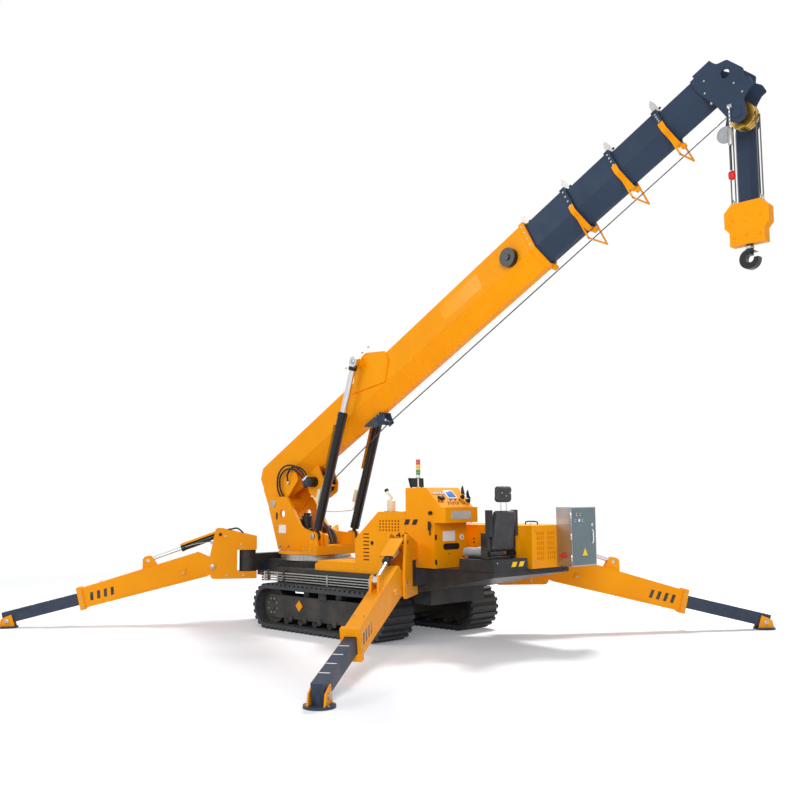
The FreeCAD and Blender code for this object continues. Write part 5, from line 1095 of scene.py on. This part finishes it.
class CRANE_OT_boom(bpy.types.Operator):
    """Boom fittings: winch motor with its hoses, collars, sensor brackets, plates, drum rope and hoist line"""

    bl_idname = "crane.boom"
    bl_label = "Boom"

    def execute(self, context):
        base = Heap("boom_fittings", "boom", boom_points)

        # Motor: housing, end cap, port block, wound hoses over it
        housing = turned([(0.078, 0.0), (0.078, 0.018), (0.066, 0.022), (0.066, 0.088), (0.072, 0.092), (0.072, 0.118),
                          (0.055, 0.128), (0.020, 0.130)], 32)
        base.add(housing, "black", (WINCH_U, WINCH_HALF, WINCH_V), (0, 1, 0))
        for angle in np.radians(np.arange(6) * 60.0):
            at = (WINCH_U + 0.058 * math.cos(angle), 0.257, WINCH_V + 0.058 * math.sin(angle))
            base.add(bolt(0.007), "steel", at, (0, 1, 0))
        base.add(block((0.12, 0.075, 0.10), 0.010), "black", (0.800, 0.222, -0.085))
        for at in ((0.760, 0.222, -0.035), (0.800, 0.222, -0.035), (0.840, 0.222, -0.035)):
            base.add(fitting((0.012, 0.017, 0.011), (0.012, 0.013, 0.028, 0.032)), "chrome", at)
        loops = [[(0.760, 0.222, -0.01), (0.740, 0.235, 0.08), (0.660, 0.262, 0.22), (0.500, 0.272, 0.30),
                  (0.340, 0.270, 0.27), (0.250, 0.258, 0.13), (0.240, 0.232, -0.04)],
                 [(0.800, 0.222, -0.01), (0.790, 0.240, 0.10), (0.700, 0.270, 0.26), (0.520, 0.285, 0.35),
                  (0.330, 0.284, 0.31), (0.205, 0.268, 0.14), (0.190, 0.236, -0.05)],
                 [(0.840, 0.222, -0.01), (0.850, 0.235, 0.07), (0.780, 0.255, 0.19), (0.640, 0.262, 0.26),
                  (0.500, 0.262, 0.22), (0.440, 0.245, 0.12)]]
        for path in loops:
            base.add(hose(spline(path), 0.013), "hose")
            sleeve = turned([(0.015, -0.022), (0.018, -0.016), (0.018, 0.016), (0.015, 0.022)], 6)
            base.add(sleeve, "chrome", path[0], np.subtract(path[1], path[0]))
            base.add(sleeve, "chrome", path[-1], np.subtract(path[-1], path[-2]))
        # Winch: rope laid round the drum, side plates' bolts
        turns = np.linspace(0.0, 2 * math.pi * COIL_TURNS, COIL_TURNS * COIL_STEPS + 1)
        drum = Heap("drum_rope", "drum", boom_points)
        coil = np.column_stack([WINCH_U + COIL_RADIUS * np.cos(turns), np.linspace(-0.098, 0.098, len(turns)),
                                WINCH_V + COIL_RADIUS * np.sin(turns)])
        helix_rope(drum, coil)
        drum.lay(60.0)
        for side in (-1, 1):
            for u, v in ((0.74, 0.03), (1.02, 0.03), (0.76, -0.24), (1.00, -0.24)):
                base.add(bolt(0.010), "steel", (u, WINCH_HALF * side, v), (0, side, 0))
            cap = turned([(0.052, 0.0), (0.052, 0.006), (0.040, 0.012), (0.014, 0.013)], 28)
            base.add(cap, "steel", (0.0, 0.207 * side, 0.0), (0, side, 0))
            base.bolts(0.008, product((2.420, 2.480), (0.109 * side,), (0.045,)), (0, side, 0))
        # Lift bracket bolts
        for side in (-1, 1):
            base.bolts(0.012, product((2.36, 2.50, 2.74, 2.88), (0.262 * side,), (0.872,)))
        # Blank plate and weld seams along the side
        plate = oblong(0.36, 0.105, 0.0025)
        for side in (-1, 1):
            base.add(plate, "yellow_plate", (4.54, 0.205 * side, 0.470), (0, side, 0), (1, 0, 0))
        for y, v in ((0.1975, 0.640), (-0.1975, 0.640), (0.201, 0.282), (-0.201, 0.282)):
            path = np.column_stack([np.linspace(0.45, 5.70, 40), np.full(40, y), np.full(40, v)])
            base.add(hose(path, 0.006, 8), "yellow")
        # Collars: bolts, yellow strips, and the sensor brackets on top
        ends = (5.780, 6.435, 7.090, 7.745)
        bodies = ("boom", "stage_2", "stage_3", "stage_4")
        for index, (end, body) in enumerate(zip(ends, bodies)):
            heap = Heap("collar_fittings_%d" % (index + 1), body, boom_points)
            half, top = 0.205 - 0.020 * index, 0.645 - 0.028 * index
            low = 0.065 + 0.028 * index
            for side in (-1, 1):
                for v in np.linspace(low + 0.28, top - 0.04, 4):
                    heap.add(bolt(0.009), "steel", (end - 0.035, (half + 0.014) * side, v), (0, side, 0))
                for y in (0.05, 0.13):
                    heap.add(bolt(0.009), "steel", (end - 0.035, y * side, top + 0.014))
            if index:
                collar_band(heap, end - 0.035, half, 0.050 - 0.009 * index, low)
                rope_loop(heap, end - 0.035, index)
            heap.add(block((0.060, 0.050, 0.044), 0.005), "yellow", (end - 0.012, -0.035, low - 0.036))
            post = sheet([(-0.045, 0.0), (0.045, 0.0), (0.034, 0.12), (0.004, 0.185), (-0.034, 0.13)], 0.006)
            heap.add(post, "steel", (end - 0.030, 0.085, top + 0.012), (0, -1, 0), (1, 0, 0))
            heap.add(block((0.075, 0.050, 0.060), 0.006), "cream", (end - 0.035, 0.050, top + 0.060))
            heap.add(turned([(0.012, 0.0), (0.012, 0.020), (0.008, 0.024)], 16), "plastic",
                     (end + 0.003, 0.050, top + 0.060), (1, 0, 0))
            heap.lay()
        base.lay()
        # Hoist line: from the drum to the guide roller and on below the boom. Each sliding section carries a
        # thinner length that reaches back inside the one before, and comes out of it as the boom extends.
        def below(u):
            """Place on the straight run below the boom."""
            return np.array([u, 0.0, LINE_HEIGHT + LINE_RISE * (u - LINE_START)])

        runs = [("boom", np.array([0.930, 0.0, -0.219]), below(LINE_START), 0.0085),
                ("boom", below(LINE_START), below(5.70), 0.0085), ("stage_2", below(2.60), below(6.36), 0.0079),
                ("stage_3", below(3.30), below(7.02), 0.0074), ("stage_4", below(3.95), below(7.67), 0.0069),
                ("stage_5", below(4.60), below(8.39), 0.0065)]
        for index, (body, start, end, radius) in enumerate(runs):
            heap = Heap("hoist_line_%d" % (index + 1), body, boom_points)
            heap.add(strands(start, end, radius), "rope")
            heap.lay(80.0)
        return {"FINISHED"}


def collar_band(heap, u, half, floor, low):
    """Yellow band round the lower half of a collar: flat strips along its side, facet and floor on both sides."""
    shoulder = low + (half - floor) * 215.0 / 155.0
    for side in (-1, 1):
        line = np.array([(half + 0.017, shoulder + 0.085), (half + 0.017, shoulder - 0.004),
                         (floor + 0.012, low - 0.015), (floor - 0.030, low - 0.017)])
        for start, end in zip(line[:-1], line[1:]):
            run = end - start
            strip = block((0.066, np.linalg.norm(run) + 0.006, 0.007), 0.0025, 1)
            normal = np.array([0.0, -run[1] * side, run[0]])
            middle = (start + end) / 2.0
            heap.add(strip, "yellow", (u, middle[0] * side, middle[1]), normal, (1, 0, 0))


def rope_loop(heap, u, index):
    """Yellow sleeve over the bent rod that hangs from a collar round the hoist rope."""
    side, top = 0.213 - 0.020 * index, 0.252 + 0.028 * index
    foot, low = side - 0.010, top - 0.378
    corner = 0.018
    path = [(u, side, top), (u, side - 0.008, low + 3 * corner), (u, foot, low + corner), (u, foot - 0.4 * corner, low),
            (u, foot - 2 * corner, low), (u, 0.0, low)]
    path = np.array(path + [(a, -b, c) for a, b, c in path[-2::-1]])
    heap.add(hose(spline(path, 4), 0.0108, 10), "yellow")


def strands(start, end, radius, pitch=0.09):
    """Laid rope: a tube whose section is a six-lobed rosette that turns once in each pitch along the line."""
    length = np.linalg.norm(end - start)
    along = (end - start) / length
    across = np.cross(along, (0.0, 1.0, 0.0))
    other = np.cross(along, across)
    count = max(3, int(length / (pitch / 6)))
    at = np.linspace(0.0, length, count)
    angle = np.arange(24) * 2.0 * math.pi / 24
    lobes = radius * (0.97 + 0.03 * np.cos(6 * angle))
    turn = angle[None, :] + 2 * math.pi * at[:, None] / pitch
    points = start + along * at[:, None, None]
    points = points + lobes[None, :, None] * (across * np.cos(turn)[..., None] + other * np.sin(turn)[..., None])
    return points.reshape(-1, 3), grid_faces(count, 24)


def helix_rope(heap, path, radius=0.0068, sides=8):
    """Rope round the drum: circles square to a helix, turned by the drum's own axis."""
    along = np.gradient(path, axis=0)
    along /= np.linalg.norm(along, axis=1, keepdims=True)
    across = np.cross(along, (0.0, 1.0, 0.0))
    across /= np.linalg.norm(across, axis=1, keepdims=True)
    other = np.cross(along, across)
    angle = np.arange(sides) * 2.0 * math.pi / sides
    ring = (across[:, None] * np.cos(angle)[:, None] + other[:, None] * np.sin(angle)[:, None]) * radius
    heap.add(((path[:, None] + ring).reshape(-1, 3), grid_faces(len(path), sides)), "rope")


class CRANE_OT_head(bpy.types.Operator):
    """Boom head and hook block: bolts, pin caps, limit switch with its chain and weight, block plates and pins"""

    bl_idname = "crane.head"
    bl_label = "Head and block"

    def execute(self, context):
        head = Heap("head_fittings", "stage_5", boom_points)
        for side in (-1, 1):
            for u, v in ((8.240, 0.30), (8.240, 0.16), (8.300, 0.42), (8.520, 0.16), (8.540, 0.02)):
                head.add(bolt(0.012), "steel", (u, 0.146 * side, v), (0, side, 0))
            cap = turned([(0.052, 0.0), (0.052, 0.008), (0.040, 0.012), (0.012, 0.012)], 28)
            head.add(cap, "slate", (8.388, 0.146 * side, -0.120), (0, side, 0))
        head.lay()
        jib = Heap("jib_fittings", "jib")
        (x0, y0, z0), (x1, _, _) = (corner - ORIGIN for corner in np.array(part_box("fly_jib")))
        for z in (z0 + 0.10, z0 + 0.22):
            for x in (x0 + 0.05, x1 - 0.05):
                jib.add(bolt(0.010), "steel", (x, y0 + 0.002, z), (0, -1, 0))
        jib.lay()
        cheeks = Heap("block_fittings", "block")
        for side in (-1, 1):
            face = 0.055 * side
            boss = turned([(0.040, 0.0), (0.040, 0.006), (0.030, 0.011), (0.012, 0.011)], 28)
            cheeks.add(boss, "yellow", (BLOCK_X, face - 0.003 * side, 4.470), (0, side, 0))
            for x, z in ((-0.142, 4.470), (0.142, 4.470), (-0.13, 4.290), (0.13, 4.290), (0.0, 4.300)):
                cheeks.add(bolt(0.012), "yellow", (BLOCK_X + x, face - 0.002 * side, z), (0, side, 0))
        for x in (-0.142, 0.142):
            for y in (-0.044, 0.044):
                socket = turned([(0.016, 0.0), (0.016, 0.030), (0.010, 0.050), (0.0085, 0.052)], 16)
                cheeks.add(socket, "steel", (BLOCK_X + x, y * 0.6, 4.639))
        cheeks.lay()
        nut = Heap("hook_fittings", "swivel_hook")
        nut.add(turned([(0.036, 0.0), (0.044, 0.006), (0.044, 0.030), (0.036, 0.036)], 6), "steel",
                (BLOCK_X, 0.0, 4.160))
        nut.lay()
        # Limit switch on the head's left cheek: chain, silver barrel, dark rod, red weight, and a disc beside it
        switch = Heap("limit_switch", "stage_5")
        top = np.array([-5.455, 0.166, 5.600])
        switch.add(block((0.050, 0.016, 0.040), 0.004), "steel", top + [0.0, -0.010, 0.010])
        link = np.linspace(0, 2 * math.pi, 13)
        for index in range(10):
            bend = np.stack([0.007 * np.cos(link), 0.013 * np.sin(link)], axis=1)
            still = np.zeros(13)
            columns = [bend[:, 0], still, bend[:, 1]] if index % 2 else [still, bend[:, 0], bend[:, 1]]
            switch.add(hose(top + [0, 0, -0.012 - 0.020 * index] + np.column_stack(columns), 0.0026, 6), "chrome")
        barrel = turned([(0.012, 0.0), (0.024, 0.010), (0.024, 0.170), (0.018, 0.182), (0.008, 0.190)], 24)
        switch.add(barrel, "steel", top + [0, 0, -0.400])
        switch.add(hose(np.linspace(top + [0, 0, -0.390], top + [0, 0, -0.660], 5), 0.007, 10), "plastic")
        weight = turned([(0.016, 0.0), (0.032, 0.010), (0.036, 0.030), (0.036, 0.060), (0.030, 0.080),
                         (0.014, 0.090)], 24)
        switch.add(weight, "red", top + [0, 0, -0.750])
        disc = turned([(0.080, 0.0), (0.086, 0.006), (0.086, 0.020), (0.074, 0.028), (0.030, 0.030),
                       (0.022, 0.024)], 32)
        switch.add(disc, "grey", (-5.395, 0.140, 5.330), (0, 1, 0))
        arm = sheet([(-0.020, 0.0), (0.020, 0.0), (0.020, 0.17), (-0.020, 0.17)], 0.010)
        switch.add(arm, "slate", (-5.405, 0.146, 5.350), (0, -1, 0), (1, 0, 0.2))
        switch.lay()
        return {"FINISHED"}


class CRANE_OT_outriggers(bpy.types.Operator):
    """Outrigger fittings: pin caps, bolts, dashes, ribs, foot cheeks, folded covers, cylinder ports and hoses"""

    bl_idname = "crane.outriggers"
    bl_label = "Outriggers"

    def execute(self, context):
        for name in LEGS:
            on_arm, on_leg = partial(arm_points, name), partial(leg_points, name)
            head = Heap("head_fittings_" + name, "outrigger_head_" + name, on_leg)
            pin = turned([(0.056, 0.0), (0.056, 0.008), (0.042, 0.013), (0.014, 0.013)], 28)
            head.add(pin, "steel", (0.0, 0.0, 1.040))
            for side in (-1, 1):
                for s, z in ((0.06, 0.66), (0.30, 0.66), (0.10, 1.10), (0.32, 1.22)):
                    head.add(bolt(0.011), "steel", (s, 0.112 * side, z), (0, side, 0))
                head.add(turned([(0.052, 0.0), (0.052, 0.006), (0.044, 0.010)], 28), "yellow",
                         (0.500, 0.111 * side, 0.790), (0, side, 0))
            # Ports and two looped hoses on the head's top, back towards the frame
            for w in (-0.035, 0.035):
                path = [(0.30, w, 1.31), (0.24, w, 1.36 - 0.04), (0.14, w * 1.3, 1.325), (0.04, w * 1.5, 1.22),
                        (0.02, w * 1.6, 1.10)]
                head.add(hose(spline(path), 0.011), "hose")
                head.add(turned([(0.013, 0.0), (0.017, 0.004), (0.017, 0.026), (0.013, 0.030)], 6), "chrome",
                         (0.02, w * 1.6, 1.075))
            head.lay()

            box = Heap("box_fittings_" + name, "outrigger_box_" + name, on_arm)
            for side in (-1, 1):
                cap = turned([(0.034, 0.0), (0.034, 0.005), (0.026, 0.008)], 24)
                box.add(cap, "steel", (0.0, 0.119 * side, 0.0), (0, side, 0))
                box.bolts(0.009, product((1.855,), (0.100 * side,), (-0.09, -0.01, 0.06, 0.13)), (0, side, 0))
                # Hazard dashes: slanted black bars on the collar's sides and before it
                for index in range(4):
                    a = 1.420 + 0.095 * index
                    dash = sheet([(-0.030, -0.055), (0.012, -0.055), (0.030, 0.055), (-0.012, 0.055)], 0.0015)
                    box.add(dash, "black", (a, 0.078 * side, 0.020), (0, side, 0), (1, 0, 0))
                # Folded ribs along the box and its inspection cover
                rib = block((1.20, 0.006, 0.020), 0.0025, 1)
                box.add(rib, "yellow", (0.80, 0.080 * side, -0.085))
                lug = sheet([(-0.05, -0.04), (0.05, -0.04), (0.03, 0.03), (-0.03, 0.03)], 0.016, 0.004)
                box.add(lug, "yellow", (0.42, 0.078 * side, 0.02), (0, side, 0), (1, 0, 0))
                box.add(bolt(0.012), "steel", (0.42, 0.094 * side, 0.015), (0, side, 0))
            box.bolts(0.008, product((1.20, 1.55), (-0.05, 0.05), (0.185,)))
            box.lay()

            reach = LEGS[name][3]
            arm = Heap("arm_fittings_" + name, "outrigger_arm_" + name, on_leg)
            for side in (-1, 1):
                foot_s = FOOT_REACH + reach * math.cos(LEG_SLOPE)
                cheek = sheet([(-0.108, 0.0), (0.105, 0.0), (0.080, 0.100), (0.020, 0.130), (-0.060, 0.160)],
                              0.014, 0.003)
                arm.add(mirrored(cheek) if side > 0 else cheek, "yellow", (foot_s, 0.068 * side, 0.0245),
                        (0, side, 0), (1, 0, 0))
                arm.add(turned([(0.030, 0.0), (0.030, 0.008), (0.022, 0.012)], 24), "steel",
                        (foot_s, 0.082 * side, 0.095), (0, side, 0))
                arm.bolts(0.010, [(foot_s + s, 0.100 * side, 0.024) for s in (-0.070, 0.070)])
            # White reach marks along the arm's top
            for a in (2.10, 2.30, 2.50, 2.70):
                arm.add(block((0.012, 0.10, 0.0025), 0.001, 1), "white", (a + reach, 0.0, 0.1025), frame_of=on_arm)
            arm.lay()

            # Cylinder: gland, valve block with fittings, hose back to the head
            start = np.array([-0.211, 0.0, 0.419])
            run = np.array([1.071, 0.0, -0.109])
            along = run / np.linalg.norm(run)
            square = np.array([-along[2], 0.0, along[0]])
            barrel = Heap("cylinder_fittings_" + name, "outrigger_barrel_" + name, on_arm)
            # Folded cover over the cylinder: a shallow channel, its two edges turned down
            cover = np.array([-0.078, -0.076, 0.076, 0.078])
            drop = np.array([-0.020, 0.004, 0.004, -0.020])
            fold = np.column_stack([np.full(4, 0.0), cover, drop])
            back = fold[::-1] - [0.0, 0.0, 0.004]
            back[:, 1] *= 0.96
            ring = np.vstack([fold, back])
            rows = [ring + [at, 0.0, 0.0] for at in (0.058, 0.062, 0.563, 0.567)]
            channel = (np.vstack(rows), grid_faces(4, 8))
            points = start + channel[0][:, :1] * along + channel[0][:, 1:2] * [0.0, 1.0, 0.0] \
                + (channel[0][:, 2:] + 0.0625) * square
            barrel.add((points, channel[1]), "yellow")
            gland = turned([(0.048, 0.0), (0.053, 0.003), (0.053, 0.034), (0.046, 0.040), (0.030, 0.042),
                            (0.028, 0.042)], 28)
            barrel.add(gland, "black", start + along * 0.548, along)
            barrel.add(block((0.110, 0.062, 0.058), 0.006), "stainless", start + along * 0.12 - square * 0.060, square,
                       along)
            for index, s in enumerate((0.09, 0.125, 0.16)):
                side = 1 if index % 2 else -1
                barrel.add(fitting((0.009, 0.013, 0.008), (0.010, 0.011, 0.022, 0.024)),
                           "chrome", start + along * s - square * 0.060 + [0, 0.030 * side, 0], (0, side, 0))
            pipe = [start + along * 0.16 - square * 0.050 + [0, 0.040, 0],
                    start + along * 0.22 - square * 0.040 + [0, 0.052, 0],
                    start + along * 0.36 - square * 0.010 + [0, 0.060, 0], start + along * 0.48 + [0, 0.060, 0],
                    start + along * 0.52 + [0, 0.050, 0]]
            barrel.add(hose(spline(pipe), 0.006), "steel")
            barrel.lay()
        return {"FINISHED"}


def mirrored(shape):
    """Shape with its own Y turned over, for the far side of a pair."""
    return shape[0] * [1.0, -1.0, 1.0], shape[1]


class CRANE_OT_tracks(bpy.types.Operator):
    """Track frames and chassis: hub bolts, roller caps, marker, steps, pipe clamps and ends, ring bolts"""

    bl_idname = "crane.tracks"
    bl_label = "Tracks and chassis"

    def execute(self, context):
        piece = Heap("track_fittings", "carrier")
        for side in (-1, 1):
            face = TRACK_FACE * side
            for x in (-1.0, 1.0):
                hub = turned([(0.150, -0.02), (0.150, 0.006), (0.120, 0.016), (0.070, 0.020), (0.060, 0.034),
                              (0.020, 0.036)], 36)
                piece.add(hub, "frame", (x, 0.930 * side, 0.305), (0, side, 0))
                for angle in np.radians(np.arange(8) * 45.0 + 20.0):
                    at = (x + 0.098 * math.cos(angle), 0.944 * side, 0.305 + 0.098 * math.sin(angle))
                    piece.add(bolt(0.011), "steel", at, (0, side, 0))
            for x in np.arange(-0.6, 0.61, 0.3):
                cap = turned([(0.040, 0.0), (0.040, 0.010), (0.028, 0.016), (0.010, 0.017)], 24)
                piece.add(cap, "frame", (x, face, 0.150), (0, side, 0))
            diamond = sheet([(-0.075, 0.0), (0.0, -0.075), (0.075, 0.0), (0.0, 0.075)], 0.004)
            piece.add(diamond, "yellow", (0.424, face, 0.335), (0, side, 0), (1, 0, 0))
            step = sheet([(-0.085, 0.0), (0.085, 0.0), (0.065, 0.150), (-0.065, 0.150)], 0.012, 0.004)
            piece.add(mirrored(step) if side > 0 else step, "frame", (-0.062, face, 0.440),
                      (0, side, 0), (1, 0, 0))
        # Pipes along the left side: clamps and end fittings
        for x in (-0.84, 0.95, 1.30):
            piece.add(block((0.045, 0.034, 0.150), 0.006), "black", (x, 0.800, 0.688))
            piece.add(bolt(0.008), "steel", (x, 0.816, 0.688), (0, 1, 0))
        (x0, _, z0), (x1, y1, _) = (corner - ORIGIN for corner in np.array(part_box("side_pipes")))
        for z in z0 + 0.011 + np.arange(4) * 0.034:
            for x, way in ((x1, 1), (x0, -1)):
                nut = turned([(0.013, 0.0), (0.016, 0.003), (0.016, 0.026), (0.012, 0.030)], 6)
                piece.add(nut, "chrome", (x - 0.028 * way, y1 - 0.0115, z), (way, 0, 0))
                path = [(x, y1 - 0.011, z), (x + 0.05 * way, y1 - 0.012, z), (x + 0.11 * way, y1 - 0.06, z - 0.012),
                        (x + 0.14 * way, y1 - 0.16, z - 0.02)]
                piece.add(hose(spline(path), 0.010), "hose")
        # Bolts round the slewing ring
        for angle in np.radians(np.arange(40) * 9.0):
            at = (SLEW_X + 0.47 * math.cos(angle), 0.47 * math.sin(angle), 0.968)
            piece.add(turned([(0.012, -0.012), (0.012, -0.004), (0.009, -0.001)], 6), "steel", at)
        for angle in np.radians(np.arange(48) * 7.5):
            c, s = math.cos(angle), math.sin(angle)
            piece.add(bolt(0.009), "steel", (SLEW_X + 0.500 * c, 0.500 * s, 0.925), (c, s, 0))
        piece.lay()
        return {"FINISHED"}


class CRANE_OT_studio(bpy.types.Operator):
    """Add the floor, the light and the camera"""

    bl_idname = "crane.studio"
    bl_label = "Studio"

    def execute(self, context):
        studio(context.scene.crane_look)
        return {"FINISHED"}


class CRANE_PT_panel(bpy.types.Panel):
    """Sidebar panel that lists the steps"""

    bl_idname = "CRANE_PT_panel"
    bl_label = "Crane"
    bl_space_type = "VIEW_3D"
    bl_region_type = "UI"
    bl_category = "Crane"

    def draw(self, context):
        for name in CraneLook.__annotations__:
            self.layout.prop(context.scene.crane_look, name)
        for step in STEPS:
            self.layout.operator(step.bl_idname)


STEPS = [
    CRANE_OT_finishes,
    CRANE_OT_seat,
    CRANE_OT_console,
    CRANE_OT_cabinet,
    CRANE_OT_hoods,
    CRANE_OT_turntable,
    CRANE_OT_lift,
    CRANE_OT_boom,
    CRANE_OT_head,
    CRANE_OT_outriggers,
    CRANE_OT_tracks,
    CRANE_OT_studio,
]
CLASSES = [CraneLook, *STEPS, CRANE_PT_panel]


def register():
    """Register the classes and the crane's settings."""
    for entry in CLASSES:
        bpy.utils.register_class(entry)
    bpy.types.Scene.crane_look = PointerProperty(type=CraneLook)


def unregister():
    """Take the settings and the classes out again."""
    del bpy.types.Scene.crane_look
    for entry in reversed(CLASSES):
        bpy.utils.unregister_class(entry)


def main():
    """Register the classes and dress the crane step by step."""
    register()
    for step in STEPS:
        group, action = step.bl_idname.split(".")
        getattr(getattr(bpy.ops, group), action)()


if __name__ == "__main__":
    main()
